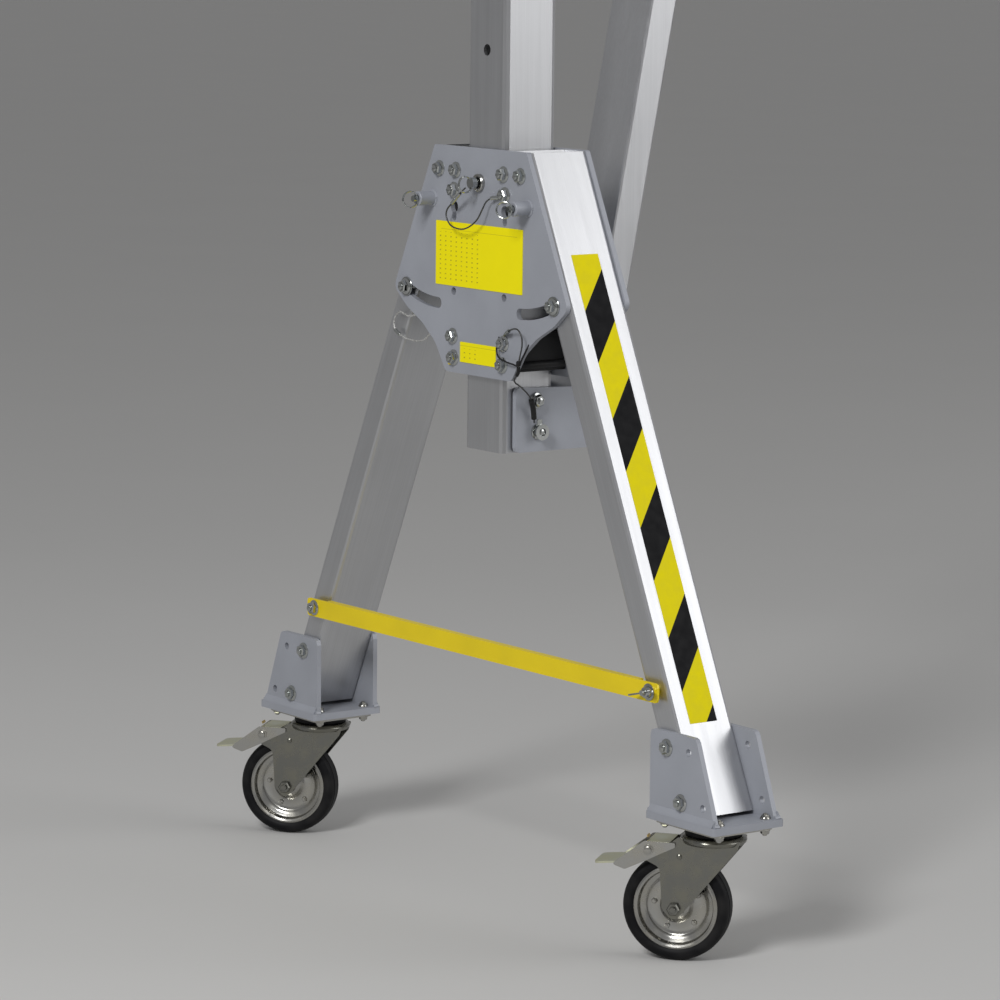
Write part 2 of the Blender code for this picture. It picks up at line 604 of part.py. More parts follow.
def fork():
    """Pressed fork: crown, two tapering arms and the axle bolt."""
    top = CASTOR_HEIGHT - 2 * GAP - CASTOR_PLATE_THICK - RACE_DEPTH
    low = top - FORK_CROWN_THICK
    crown = lathe([(FORK_CROWN_R, top - 0.003), (FORK_CROWN_R, low), (0, low), (0, top),
                   (FORK_CROWN_R - 0.004, top)], FINE_STEPS)
    arm = rounded([(0.044, top - 0.004, 0.002), (0.040, top - 0.016, 0.010),
                   (-CASTOR_TRAIL + 0.016, WHEEL_R - 0.004, 0.012),
                   (-CASTOR_TRAIL - 0.002, WHEEL_R - 0.019, 0.014),
                   (-CASTOR_TRAIL - 0.017, WHEEL_R - 0.002, 0.012),
                   (-CASTOR_TRAIL - 0.022, 0.138, 0.012),
                   (PEDAL_PIVOT_X - 0.009, 0.154, 0.006),
                   (PEDAL_PIVOT_X - 0.009, 0.1735, 0.006), (-0.062, 0.1745, 0.004),
                   (-0.048, top - 0.004, 0.004)])
    middle = HUB_WIDTH / 2 + PIN_CLEAR + FORK_THICK / 2
    arms = [flat(arm, FORK_THICK, UPRIGHT, (0, side * middle, 0),
                 [circle(PEDAL_PIVOT_X, PEDAL_PIVOT_Z, PEDAL_R + PIN_CLEAR)])
            for side in (1, -1)]
    outside = middle + FORK_THICK / 2
    axle = rod((-CASTOR_TRAIL, -outside - 0.003, WHEEL_R), (-CASTOR_TRAIL, outside + 0.003, WHEEL_R),
               AXLE_R)
    heads = [rod((-CASTOR_TRAIL, side * (outside - 0.001), WHEEL_R),
                 (-CASTOR_TRAIL, side * (outside + 0.007), WHEEL_R), 0.010, 6) for side in (1, -1)]
    return combine(crown, arms + [axle] + heads, "UNION")


def rim():
    """Pressed wheel rim: bored hub, stepped disc and a rounded outer band."""
    half, hub = RIM_WIDTH / 2, HUB_WIDTH / 2
    outer = RIM_R - GAP
    near = [(outer, half), (outer - 0.004, half), (outer - 0.011, half - 0.012),
            (HUB_R, 0.008), (HUB_R, hub), (AXLE_R + PIN_CLEAR, hub)]
    profile = near + [(radius, -height) for radius, height in reversed(near)]
    mesh = lathe(profile, FINE_STEPS)
    mesh.transform(UPRIGHT)
    return mesh


def tyre():
    """Solid rubber tyre with rounded shoulders."""
    half = TYRE_WIDTH / 2
    near = [(WHEEL_R, half - 0.008), (WHEEL_R - 0.006, half), (RIM_R, half - 0.003)]
    profile = near + [(radius, -height) for radius, height in reversed(near)]
    mesh = lathe(profile, FINE_STEPS)
    mesh.transform(UPRIGHT)
    return mesh


def pedal():
    """Brake pedal: two side arms on one pivot pin, a top plate and a foot tread."""
    outside = HUB_WIDTH / 2 + PIN_CLEAR + FORK_THICK + GAP
    x, z = PEDAL_PIVOT_X, PEDAL_PIVOT_Z
    arm = rounded([(x + 0.040, z + 0.012, 0.002), (x - 0.006, z + 0.013, 0.006),
                   (PEDAL_TIP_X + 0.026, z - 0.024, 0.003),
                   (PEDAL_TIP_X + 0.046, z - 0.031, 0.004), (x - 0.001, z - 0.015, 0.010),
                   (x + 0.010, z - 0.009, 0.006), (x + 0.040, z + 0.006, 0.002)])
    arms = [flat(arm, PEDAL_THICK, UPRIGHT, (0, side * (outside + PEDAL_THICK / 2), 0))
            for side in (1, -1)]
    edge = outside + PEDAL_THICK - 0.0005
    pin = rod((x, -edge, z), (x, edge, z), PEDAL_R)
    top = block((x - 0.002, -edge, z + 0.0095), (x + 0.024, edge, z + 0.0125))
    tread = block((-0.016, -edge, -0.002), (0.028, edge, 0.001))
    turn = Matrix.Rotation(-TREAD_LEAN, 4, "Y")
    tread.transform(Matrix.Translation((PEDAL_TIP_X + 0.016, 0, z - TREAD_DROP)) @ turn)
    return combine(arms[0], [pin, top, tread, arms[1]], "UNION")


# ---- girder and trolley --------------------------------------------------------------
def girder():
    """I-section girder along Y."""
    half, web = GIRDER_WIDTH / 2, GIRDER_WEB / 2
    low, high = GIRDER_BOTTOM, GIRDER_BOTTOM + GIRDER_HEIGHT
    section = [(-half, low), (half, low), (half, low + GIRDER_FLANGE), (web, low + GIRDER_FLANGE),
               (web, high - GIRDER_FLANGE), (half, high - GIRDER_FLANGE), (half, high),
               (-half, high), (-half, high - GIRDER_FLANGE), (-web, high - GIRDER_FLANGE),
               (-web, low + GIRDER_FLANGE), (-half, low + GIRDER_FLANGE)]
    return flat(section, GIRDER_LENGTH, UPRIGHT)


def trolley():
    """Beam trolley: two side plates with rollers on the bottom flange and a lifting eye."""
    inner = GIRDER_WIDTH / 2 + 0.004
    outer = inner + TROLLEY_THICK
    run = GIRDER_BOTTOM + GIRDER_FLANGE + GAP
    low = GIRDER_BOTTOM - TROLLEY_DROP
    side_outline = rounded([(-TROLLEY_HALF_Y, run - 0.010, 0.02), (-0.030, low, 0.02),
                            (0.030, low, 0.02), (TROLLEY_HALF_Y, run - 0.010, 0.02),
                            (TROLLEY_HALF_Y, run + 0.065, 0.02),
                            (-TROLLEY_HALF_Y, run + 0.065, 0.02)])
    parts = [flat(side_outline, TROLLEY_THICK, SIDEWAYS, (side * (inner + outer) / 2, 0, 0))
             for side in (1, -1)]
    parts += [rod((side * (GIRDER_WEB / 2 + 0.012), y, run + TROLLEY_ROLLER_R),
                  (side * (inner + 0.002), y, run + TROLLEY_ROLLER_R), TROLLEY_ROLLER_R, 16)
              for side in (1, -1) for y in (-TROLLEY_ROLLER_Y, TROLLEY_ROLLER_Y)]
    cross = block((-outer, -0.024, low + 0.010), (outer, 0.024, low + 0.034))
    eye = flat(circle(0, low - 0.018, EYE_R, FINE_STEPS), 0.016, SIDEWAYS,
               holes=[circle(0, low - 0.026, EYE_HOLE_R, 16)])
    return combine(cross, [eye] + parts, "UNION")


# ---- assembly ------------------------------------------------------------------------
def material(name):
    """Principled material, made once per name."""
    found = bpy.data.materials.get(name)
    if found:
        return found
    colour, roughness, metallic = COLOURS[name]
    made = bpy.data.materials.new(name)
    made.use_nodes = True
    shader = made.node_tree.nodes["Principled BSDF"]
    shader.inputs["Base Color"].default_value = (*colour, 1)
    shader.inputs["Roughness"].default_value = roughness
    shader.inputs["Metallic"].default_value = metallic
    return made


def empty(name, place, turn=0.0, parent=None):
    """Empty that carries a group of pieces."""
    holder = bpy.data.objects.new(name, None)
    holder.location = place
    holder.rotation_euler = (0, 0, turn)
    holder.parent = parent
    bpy.data.collections["portable_gantry_crane"].objects.link(holder)
    return holder


def add(name, mesh, finish, origin=(0, 0, 0), parent=None):
    """Named object with its origin at `origin`, given in the mesh's own coordinates."""
    own = mesh.copy()
    own.name = name
    own.transform(Matrix.Translation(-Vector(origin)))
    own.materials.clear()
    own.materials.append(material(finish))
    piece = bpy.data.objects.new(name, own)
    piece.location = origin
    piece.parent = parent
    bpy.data.collections["portable_gantry_crane"].objects.link(piece)
    return piece


def end_pieces():
    """Every piece of an end frame but its castors: name, mesh, finish, origin."""
    pieces = [("outer_head_plate", head_plate(-1, True), "grey_paint", (0, 0, 0)),
              ("inner_head_plate", head_plate(1, False), "grey_paint", (0, 0, 0)),
              ("upper_slide_collar", collar(*UPPER_COLLAR), "slide_plastic", (0, 0, 0)),
              ("lower_slide_collar", collar(*LOWER_COLLAR), "slide_plastic", (0, 0, 0)),
              ("index_plunger", index_plunger(), "bolt_zinc", (0, HEAD_FACE, INDEX_Z)),
              ("tie_bar", tie_bar(), "yellow_paint", (-TIE_BOLT_X, HEAD_FACE, TIE_Z)),
              ("mast", mast(), "aluminium", (0, 0, MAST_BOTTOM)),
              ("brace_bracket", brace_bracket(), "grey_paint", (0, 0, BRACE_PIVOT_Z)),
              ("brace", brace(), "aluminium", (0, BRACE_PIVOT_Y, BRACE_PIVOT_Z))]
    for side, word in ((-1, "left"), (1, "right")):
        pivot = (side * PIVOT_X, 0, PIVOT_Z)
        pieces += [(word + "_leg", leg(side), "aluminium", pivot),
                   (word + "_foot", foot(side), "grey_paint", pivot),
                   (word + "_pivot_bolt", pivot_bolt(side), "bolt_zinc", pivot),
                   (word + "_lock_plunger", lock_plunger(side), "bolt_zinc",
                    (side * LOCK_X, HEAD_FACE, LOCK_Z))]
    return pieces


def castor_pieces():
    """Pieces of one castor that swivel, with their origins on their own axes."""
    axle = (-CASTOR_TRAIL, 0, WHEEL_R)
    return [("fork", fork(), "zinc", (0, 0, 0)), ("wheel_rim", rim(), "zinc", None),
            ("tyre", tyre(), "rubber", None),
            ("brake_pedal", pedal(), "pedal_zinc", (PEDAL_PIVOT_X, 0, PEDAL_PIVOT_Z))], axle


def main():
    """Build both end frames, the girder, the trolley and the lanyards."""
    for old in list(bpy.data.objects):
        bpy.data.objects.remove(old)
    for name in ("portable_gantry_crane", "cutters"):
        made = bpy.data.collections.new(name)
        bpy.context.scene.collection.children.link(made)
    frame_parts = end_pieces()
    swivel_parts, axle = castor_pieces()
    top_plate = castor_plate()
    for end, sign in (("near", -1), ("far", 1)):
        holder = empty(end + "_end_frame", (0, sign * FRAME_Y, 0), 0.0 if sign < 0 else pi)
        for name, mesh, finish, origin in frame_parts:
            add(f"{end}_{name}", mesh, finish, origin, holder)
        for side, word in ((-1, "left"), (1, "right")):
            tag = f"{end}_{word}_"
            fixed = empty(tag + "castor_seat", (side * CASTOR_X, 0, 0), 0.0, holder)
            add(tag + "castor_plate", top_plate, "zinc", (0, 0, 0), fixed)
            swivel = empty(tag + "castor_swivel", (0, 0, 0), CASTOR_YAW, fixed)
            for name, mesh, finish, origin in swivel_parts:
                piece = add(tag + name, mesh, finish, origin or (0, 0, 0), swivel)
                if origin is None:
                    piece.location = axle
    add("girder", girder(), "aluminium")
    add("trolley", trolley(), "zinc", (0, 0, GIRDER_BOTTOM))
    near = bpy.data.objects["near_end_frame"]
    add("near_plunger_lanyard", cord(SIGNAL_WIRE, WIRE_R), "steel_wire", (0, 0, 0), near)
    add("near_bracket_lanyard", cord(LOWER_WIRE, WIRE_R), "steel_wire", (0, 0, 0), near)
    add("near_side_lanyard", cord(SIDE_LOOP, BRAID_R), "braid", (0, 0, 0), near)
    bpy.context.view_layer.update()


main()
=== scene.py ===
"""Looks of a portable aluminium gantry crane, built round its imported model.

Every end frame is described once in its own coordinates (mast axis at x = y = 0, the
outer side toward -Y, heights from the floor) and then placed at both ends.
"""
from __future__ import annotations

import json
import logging
from collections.abc import Callable, Iterable, Mapping, Sequence
from dataclasses import dataclass
from enum import Enum
from math import atan2, cos, pi, radians, sin, tan

import bmesh
import bpy
from mathutils import Matrix, Vector

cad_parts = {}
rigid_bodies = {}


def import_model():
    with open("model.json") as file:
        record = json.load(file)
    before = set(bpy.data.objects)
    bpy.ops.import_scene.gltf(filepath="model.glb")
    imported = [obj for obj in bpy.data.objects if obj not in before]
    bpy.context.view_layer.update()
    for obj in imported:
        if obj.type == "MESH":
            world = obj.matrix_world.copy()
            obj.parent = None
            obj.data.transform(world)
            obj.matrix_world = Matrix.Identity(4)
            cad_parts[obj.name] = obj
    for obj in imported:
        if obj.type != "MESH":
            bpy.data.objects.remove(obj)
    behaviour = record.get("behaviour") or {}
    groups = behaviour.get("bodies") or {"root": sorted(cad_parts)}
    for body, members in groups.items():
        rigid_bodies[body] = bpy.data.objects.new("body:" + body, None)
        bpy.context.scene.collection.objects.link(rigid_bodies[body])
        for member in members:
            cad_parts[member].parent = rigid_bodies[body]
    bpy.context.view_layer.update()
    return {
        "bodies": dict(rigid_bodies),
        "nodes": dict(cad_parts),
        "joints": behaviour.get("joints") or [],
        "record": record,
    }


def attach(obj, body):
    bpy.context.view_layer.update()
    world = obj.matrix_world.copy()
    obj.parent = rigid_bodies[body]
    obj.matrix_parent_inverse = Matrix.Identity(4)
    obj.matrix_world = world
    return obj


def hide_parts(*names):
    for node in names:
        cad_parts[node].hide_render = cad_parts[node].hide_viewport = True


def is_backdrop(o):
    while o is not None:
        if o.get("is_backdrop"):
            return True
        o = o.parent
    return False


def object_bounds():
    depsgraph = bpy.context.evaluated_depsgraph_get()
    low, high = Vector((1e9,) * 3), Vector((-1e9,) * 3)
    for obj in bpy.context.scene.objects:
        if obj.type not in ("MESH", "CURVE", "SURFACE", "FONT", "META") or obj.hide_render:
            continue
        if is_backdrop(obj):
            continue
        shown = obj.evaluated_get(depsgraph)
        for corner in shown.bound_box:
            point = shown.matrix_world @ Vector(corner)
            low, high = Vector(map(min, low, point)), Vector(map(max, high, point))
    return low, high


LOG = logging.getLogger("gantry_crane")

Colour = tuple[float, float, float]
Point = Sequence[float]
Outline = list[tuple[float, float]]

FRAME_Y = 1.7            # mast axis from the middle of the girder
PLATE_IN = 0.0513          # faces of the head plates and foot cheeks, either side
PLATE_OUT = 0.0593
LEG_SPLAY = radians(24.4)
PIVOT = (0.104, 1.125)
AXIS = 1e-6                # radii below this lie on the axis of a turned shape
JOIN = 4e-6                # points closer than this are one point
LIFT = 0.0002              # what lies on a plate stands this far off it
LOCK_BORE = 0.0056         # radius of the hole for a leg plunger

# columns are where a shape's own x, y and z point
FRONT = Matrix(((1, 0, 0, 0), (0, 0, -1, 0), (0, 1, 0, 0), (0, 0, 0, 1)))
REAR = Matrix(((-1, 0, 0, 0), (0, 0, 1, 0), (0, 1, 0, 0), (0, 0, 0, 1)))
ASIDE = Matrix(((0, 0, 1, 0), (1, 0, 0, 0), (0, 1, 0, 0), (0, 0, 0, 1)))
HERE = Matrix.Identity(4)


class End(Enum):
    """One of the two end frames."""

    NEAR = "near"
    FAR = "far"

    def place(self) -> Matrix:
        """Placement of this end frame in the crane."""
        if self is End.NEAR:
            return Matrix.Translation((0, -FRAME_Y, 0))
        return Matrix.Translation((0, FRAME_Y, 0)) @ spin(pi)


class Side(Enum):
    """One of the two legs of an end frame."""

    LEFT = -1
    RIGHT = 1

    def tag(self, end: End) -> str:
        """Start of the names of the pieces of this leg."""
        return f"{end.value}_{self.name.lower()}"


class Grain(Enum):
    """Stretch of the drawing lines along a section, as noise scales."""

    UPRIGHT = (700.0, 700.0, 5.0)
    LEVEL = (700.0, 5.0, 700.0)


def shift(x: float, y: float, z: float) -> Matrix:
    """Move by three distances."""
    return Matrix.Translation((x, y, z))


def spin(angle: float, axis: str = "Z") -> Matrix:
    """Turn about an axis."""
    return Matrix.Rotation(angle, 4, axis)


UNDER = spin(pi, "X")                          # upside down
SIDES = {1: ASIDE, -1: spin(pi) @ ASIDE}       # outward from the mast, by hand
FACES = ((FRONT, -1), (REAR, 1))               # outer and inner face of a frame


def put(name: str, data: bpy.types.ID) -> bpy.types.Object:
    """New object in the scene."""
    made = bpy.data.objects.new(name, data)
    bpy.context.scene.collection.objects.link(made)
    return made


def draw(curve: bpy.types.Curve, points: Iterable[Point], closed: bool = False) -> None:
    """Add one spline of straight runs to a curve."""
    places = list(points)
    spline = curve.splines.new("POLY")
    spline.points.add(len(places) - 1)
    for point, place in zip(spline.points, places):
        point.co = (*place, 1)
    spline.use_cyclic_u = closed


# ---- shader graphs -------------------------------------------------------------------
def _operator(operation: str, swapped: bool = False) -> Callable[[Value, Value | float], Value]:
    """Operator of a socket.

    Args:
        operation: Name of the Math node's operation.
        swapped: Whether the socket is the second operand.

    Returns:
        Method that adds the Math node.
    """
    def method(self: Value, other: Value | float) -> Value:
        """Add the node and wrap its result."""
        operands = (other, self) if swapped else (self, other)
        made = self.graph.node("ShaderNodeMath", {"operation": operation},
                               dict(enumerate(operands)))
        return Value(self.graph, made.outputs[0])

    return method


@dataclass(frozen=True, eq=False)
class Value:
    """Socket that takes part in arithmetic: each operator adds one Math node."""

    graph: Graph
    socket: bpy.types.NodeSocket

    __add__ = _operator("ADD")
    __sub__ = _operator("SUBTRACT")
    __rsub__ = _operator("SUBTRACT", swapped=True)
    __mul__ = _operator("MULTIPLY")
    __mod__ = _operator("FLOORED_MODULO")
    __lt__ = _operator("LESS_THAN")
    __gt__ = _operator("GREATER_THAN")
    size = _operator("ABSOLUTE")

    def __abs__(self) -> Value:
        """Size without its sign."""
        return self.size(0.0)


class Graph:
    """Node tree of one material."""

    def __init__(self, name: str) -> None:
        """Start a material with its Principled shader."""
        self.material = bpy.data.materials.new(name)
        self.material.use_nodes = True
        self.tree = self.material.node_tree
        self.shader = self.tree.nodes["Principled BSDF"]

    def node(self, kind: str, settings: Mapping[str, object] | None = None,
             sockets: Mapping[int | str, object] | None = None) -> bpy.types.Node:
        """Add any node.

        Args:
            kind: Node type.
            settings: Properties of the node, set first; `stops` fills a colour ramp.
            sockets: Values or links of its inputs, by name or number.

        Returns:
            The node.
        """
        made = self.tree.nodes.new(kind)
        for name, value in (settings or {}).items():
            if name == "stops":
                self._fill_ramp(made, value)
            else:
                setattr(made, name, value)
        for key, value in (sockets or {}).items():
            self.feed(made.inputs[key], value)
        return made

    @staticmethod
    def _fill_ramp(node: bpy.types.Node, stops: Sequence[tuple[float, float]]) -> None:
        """Give a ramp its (position, grey level) stops."""
        elements = node.color_ramp.elements
        while len(elements) < len(stops):
            elements.new(1.0)
        for element, (position, level) in zip(elements, stops):
            element.position = position
            element.color = (level, level, level, 1)

    def feed(self, socket: bpy.types.NodeSocket, value: object) -> None:
        """Link a socket to a value, or set it to a plain number, vector or colour."""
        source = value.socket if isinstance(value, Value) else value
        if isinstance(source, bpy.types.NodeSocket):
            self.tree.links.new(source, socket)
        else:
            socket.default_value = source

    def shade(self, **sockets: object) -> None:
        """Feed the shader's sockets, named with underscores for spaces."""
        for name, value in sockets.items():
            self.feed(self.shader.inputs[name.replace("_", " ")], value)

    def place(self) -> bpy.types.NodeSocket:
        """Point of the surface in the piece's own coordinates."""
        return self.node("ShaderNodeTexCoord").outputs["Object"]

    def axes(self) -> list[Value]:
        """The three coordinates of the surface, each by itself."""
        split = self.node("ShaderNodeSeparateXYZ", None, {0: self.place()})
        return [Value(self, output) for output in split.outputs]

    def vector(self, operation: str, first: object, second: object) -> bpy.types.NodeSocket:
        """Vector Math on two vectors."""
        made = self.node("ShaderNodeVectorMath", {"operation": operation}, {0: first, 1: second})
        return made.outputs[0]

    def noise(self, scale: float, detail: float = 3.0, at: object = None) -> Value:
        """Noise between nought and one.

        Args:
            scale: Features to the metre.
            detail: Octaves of finer noise.
            at: Point to look up; the surface's own place where it isn't given.

        Returns:
            The noise's level.
        """
        made = self.node("ShaderNodeTexNoise", None, {
            "Vector": self.place() if at is None else at, "Scale": scale, "Detail": detail})
        return Value(self, made.outputs[0])

    def ramp(self, level: Value, *stops: tuple[float, float]) -> Value:
        """Level passed through a ramp of (position, level) stops."""
        made = self.node("ShaderNodeValToRGB", {"stops": stops}, {0: level})
        return Value(self, made.outputs[0])

    def blend(self, factor: object, first: object, second: object) -> bpy.types.NodeSocket:
        """Colour between two colours."""
        sockets = {0: factor, 6: _solid(first), 7: _solid(second)}
        return self.node("ShaderNodeMix", {"data_type": "RGBA"}, sockets).outputs[2]

    def cloud(self, scale: float, detail: float, low: float, high: float,
              most: float = 1.0) -> Value:
        """Noise stretched so that `low` gives nought and `high` gives `most`."""
        return self.ramp(self.noise(scale, detail), (low, 0.0), (high, most))

    def coat(self, factor: object, first: object, second: object, **sockets: object) -> None:
        """Colour between two colours, with the shader's other sockets."""
        self.shade(Base_Color=self.blend(factor, first, second), **sockets)

    def bump(self, height: Value, distance: float, strength: float = 1.0) -> None:
        """Raise the surface by a height in parts of `distance` metres."""
        made = self.node("ShaderNodeBump", None, {
            "Height": height, "Distance": distance, "Strength": strength})
        self.shade(Normal=made.outputs[0])


def _solid(colour: object) -> object:
    """Colour with its alpha, or a link left as it is."""
    return (*colour, 1.0) if isinstance(colour, tuple) else colour


def shade_of(colour: Colour, factor: float) -> Colour:
    """Colour made lighter or darker."""
    return tuple(min(part * factor, 1.0) for part in colour)


# ---- finishes ------------------------------------------------------------------------
@dataclass(frozen=True)
class Finish:
    """Surface of a piece; each kind paints its own graph."""

    name: str
    slot: str
    colour: Colour
    roughness: float

    def material(self) -> bpy.types.Material:
        """Material of this finish, made the first time it is asked for."""
        title = f"finish_{self.name}"
        found = bpy.data.materials.get(title)
        if found:
            return found
        graph = Graph(title)
        self.paint(graph)
        return graph.material

    def paint(self, graph: Graph) -> None:
        """Build the shader; each kind of finish has its own."""
        raise NotImplementedError


@dataclass(frozen=True)
class DrawnAluminium(Finish):
    """Extruded aluminium with fine lines along the section."""

    grain: Grain = Grain.UPRIGHT
    lean: float = 0.0

    def paint(self, graph: Graph) -> None:
        """Stretch noise along the section for its lines, and cloud it softly."""
        turned = graph.node("ShaderNodeVectorRotate", {"rotation_type": "Y_AXIS"}, {
            "Vector": graph.place(), "Angle": self.lean}).outputs[0]
        along = graph.vector("MULTIPLY", turned, self.grain.value)
        lines = graph.noise(1.0, 2.0, along)
        wide = graph.noise(0.12, 3.0, along)
        cloud = graph.noise(7.0, 3.0)
        level = graph.ramp(lines * 0.45 + wide * 0.3 + cloud * 0.25, (0.36, 0.0), (0.64, 1.0))
        graph.coat(level, shade_of(self.colour, 0.93), shade_of(self.colour, 1.05),
                   Metallic=0.90, Roughness=level * 0.12 + (self.roughness - 0.05))
        graph.bump(lines, 0.00012, 0.35)


@dataclass(frozen=True)
class PowderCoat(Finish):
    """Satin powder coat with a slight orange peel and dusty patches."""

    peel: float = 0.00025

    def paint(self, graph: Graph) -> None:
        """Cloud the colour, speckle it finely and dimple the surface."""
        cloud = graph.cloud(9.0, 4.0, 0.35, 0.65)
        tone = cloud * 0.7 + graph.cloud(1500.0, 1.0, 0.45, 0.75) * 0.3
        graph.coat(tone, shade_of(self.colour, 0.94), shade_of(self.colour, 1.08),
                   Metallic=0.1, Roughness=cloud * 0.1 + (self.roughness - 0.05))
        graph.bump(graph.noise(420.0, 2.0), self.peel, 0.5)


@dataclass(frozen=True)
class ZincPlate(Finish):
    """Bright zinc plate, cloudy and faintly iridescent."""

    tint: Colour = (0.75, 0.72, 0.58)

    def paint(self, graph: Graph) -> None:
        """Cloud the plate between its own colour and a tint, with dull patches."""
        cloud = graph.cloud(38.0, 3.0, 0.38, 0.66)
        fine = graph.noise(600.0, 2.0)
        graph.coat(cloud * 0.55, self.colour, self.tint, Metallic=1.0,
                   Roughness=cloud * 0.14 + fine * 0.08 + (self.roughness - 0.08))
        graph.bump(fine, 0.0001, 0.3)


@dataclass(frozen=True)
class Rubber(Finish):
    """Moulded black rubber or plastic, greyed by dust in patches."""

    dust: Colour = (0.03, 0.029, 0.028)

    def paint(self, graph: Graph) -> None:
        """Dust the surface unevenly and grain it."""
        dust = graph.cloud(26.0, 5.0, 0.48, 0.78, 0.6)
        graph.coat(dust, self.colour, self.dust,
                   Specular_IOR_Level=0.14, Roughness=dust * 0.15 + self.roughness)
        graph.bump(graph.noise(700.0, 2.0), 0.0002, 0.4)


@dataclass(frozen=True)
class HazardTape(Finish):
    """Yellow and black diagonal stripes, in the tape's own coordinates."""

    half_width: float
    half_length: float
    period: float = 0.169
    first: float = 0.0245
    black: float = 0.082
    slope: float = 1.27
    ink: Colour = (0.004, 0.004, 0.005)

    def paint(self, graph: Graph) -> None:
        """Stripe the tape and scuff it lightly."""
        across, along, _ = graph.axes()
        down = (self.half_length - self.first) - along - (self.half_width - across) * self.slope
        stripe = (down % self.period) < self.black
        scuff = graph.cloud(60.0, 4.0, 0.35, 0.7)
        paint = graph.blend(scuff, shade_of(self.colour, 0.93), self.colour)
        graph.coat(stripe, paint, self.ink,
                   Specular_IOR_Level=0.12, Roughness=scuff * 0.15 + self.roughness)
        graph.bump(graph.noise(300.0, 2.0), 0.0001, 0.3)


@dataclass(frozen=True)
class Sticker(Finish):
    """Yellow sticker with faint ruled rows and columns."""

    table: tuple[float, float, float, float] = (0.0, 0.0, 0.0, 0.0)
    cell: tuple[float, float] = (0.0138, 0.0072)
    mark: tuple[float, float] = (0.0035, 0.0022)
    ink: Colour = (0.3, 0.25, 0.02)

    def paint(self, graph: Graph) -> None:
        """Mark the cells of a plain table and rule two lines beside it."""
        across, up, _ = graph.axes()
        left, right, low, high = self.table
        inside = (across > left) * (across < right) * (up > low) * (up < high)
        column = ((across - left) % self.cell[0]) < self.mark[0]
        row = ((up - low) % self.cell[1]) < self.mark[1]
        rule = (abs(up - (high + 0.004)) < 0.0004) * (abs(across) < (right + 0.098))
        worn = graph.noise(900.0, 1.0) > 0.42
        marks = inside * column * row * worn + rule * 0.6
        cloud = graph.noise(30.0, 3.0)
        base = graph.blend(cloud, shade_of(self.colour, 0.95), self.colour)
        graph.coat(marks * 0.8, base, self.ink,
                   Specular_IOR_Level=0.2, Roughness=cloud * 0.1 + self.roughness)
        graph.bump(graph.noise(250.0, 2.0), 0.0001, 0.2)


@dataclass(frozen=True)
class WireRope(Finish):
    """Laid or braided wire."""

    strands: float = 900.0

    def paint(self, graph: Graph) -> None:
        """Shade the gaps between strands and raise the strands."""
        strand = graph.cloud(self.strands, 1.0, 0.4, 0.6)
        graph.coat(strand, shade_of(self.colour, 0.45), self.colour,
                   Metallic=0.85, Roughness=strand * 0.1 + self.roughness)
        graph.bump(strand, 0.0003, 0.6)


ALUMINIUM: Colour = (0.54, 0.545, 0.56)
UPRIGHT_TUBE = DrawnAluminium("upright_tube", "aluminium", ALUMINIUM, 0.33)
LEVEL_TUBE = DrawnAluminium("level_tube", "aluminium", ALUMINIUM, 0.33, Grain.LEVEL)
LEG_TUBES = {
    1: DrawnAluminium("leg_tube_a", "aluminium", ALUMINIUM, 0.33, Grain.UPRIGHT, LEG_SPLAY),
    -1: DrawnAluminium("leg_tube_b", "aluminium", ALUMINIUM, 0.33, Grain.UPRIGHT, -LEG_SPLAY)}
GREY = PowderCoat("grey_coat", "grey_paint", (0.33, 0.345, 0.385), 0.45)
YELLOW = PowderCoat("yellow_coat", "yellow_paint", (0.86, 0.66, 0.0), 0.38)
ZINC = ZincPlate("zinc", "zinc", (0.4, 0.397, 0.38), 0.2, (0.44, 0.42, 0.36))
DARK_ZINC = ZincPlate("dark_zinc", "zinc", (0.2, 0.2, 0.185), 0.24, (0.26, 0.25, 0.2))
BRIGHT = ZincPlate("bright_zinc", "bolt_zinc", (0.46, 0.47, 0.465), 0.13, (0.38, 0.41, 0.39))
CREAM = ZincPlate("cream_zinc", "pedal_zinc", (0.66, 0.67, 0.52), 0.36, (0.7, 0.68, 0.44))
TYRE = Rubber("tyre", "rubber", (0.006, 0.006, 0.007), 0.5)
SLIDE = Rubber("slide_plastic", "slide_plastic", (0.02, 0.02, 0.021), 0.4)
CORD = WireRope("steel_rope", "steel_wire", (0.13, 0.13, 0.13), 0.35)
BRAID = WireRope("pale_braid", "braid", (0.8, 0.8, 0.78), 0.45)
BRASS = ZincPlate("brass", "pedal_zinc", (0.7, 0.5, 0.16), 0.3, (0.55, 0.38, 0.12))


# ---- outlines ------------------------------------------------------------------------
def circle(x: float, y: float, radius: float, steps: int = 32) -> Outline:
    """Points round a circle."""
    return [(x + radius * cos(2 * pi * k / steps), y + radius * sin(2 * pi * k / steps))
            for k in range(steps)]


def rounded(corners: Sequence[tuple[float, float, float]], steps: int = 8) -> Outline:
    """Closed outline with rounded corners.

    Args:
        corners: (x, y, radius) of each corner.
        steps: Points to a corner.

    Returns:
        The points in order.
    """
    points: Outline = []
    for i, (x, y, radius) in enumerate(corners):
        here = Vector((x, y))
        before = Vector(corners[i - 1][:2]) - here
        after = Vector(corners[(i + 1) % len(corners)][:2]) - here
        if radius <= 0:
            points.append((x, y))
            continue
        reach = min(radius / tan(before.angle(after) / 2), 0.48 * before.length,
                    0.48 * after.length)
        start, end = here + before.normalized() * reach, here + after.normalized() * reach
        for k in range(steps + 1):
            t = k / steps
            point = start * (1 - t) ** 2 + here * 2 * t * (1 - t) + end * t * t
            points.append((point.x, point.y))
    return points


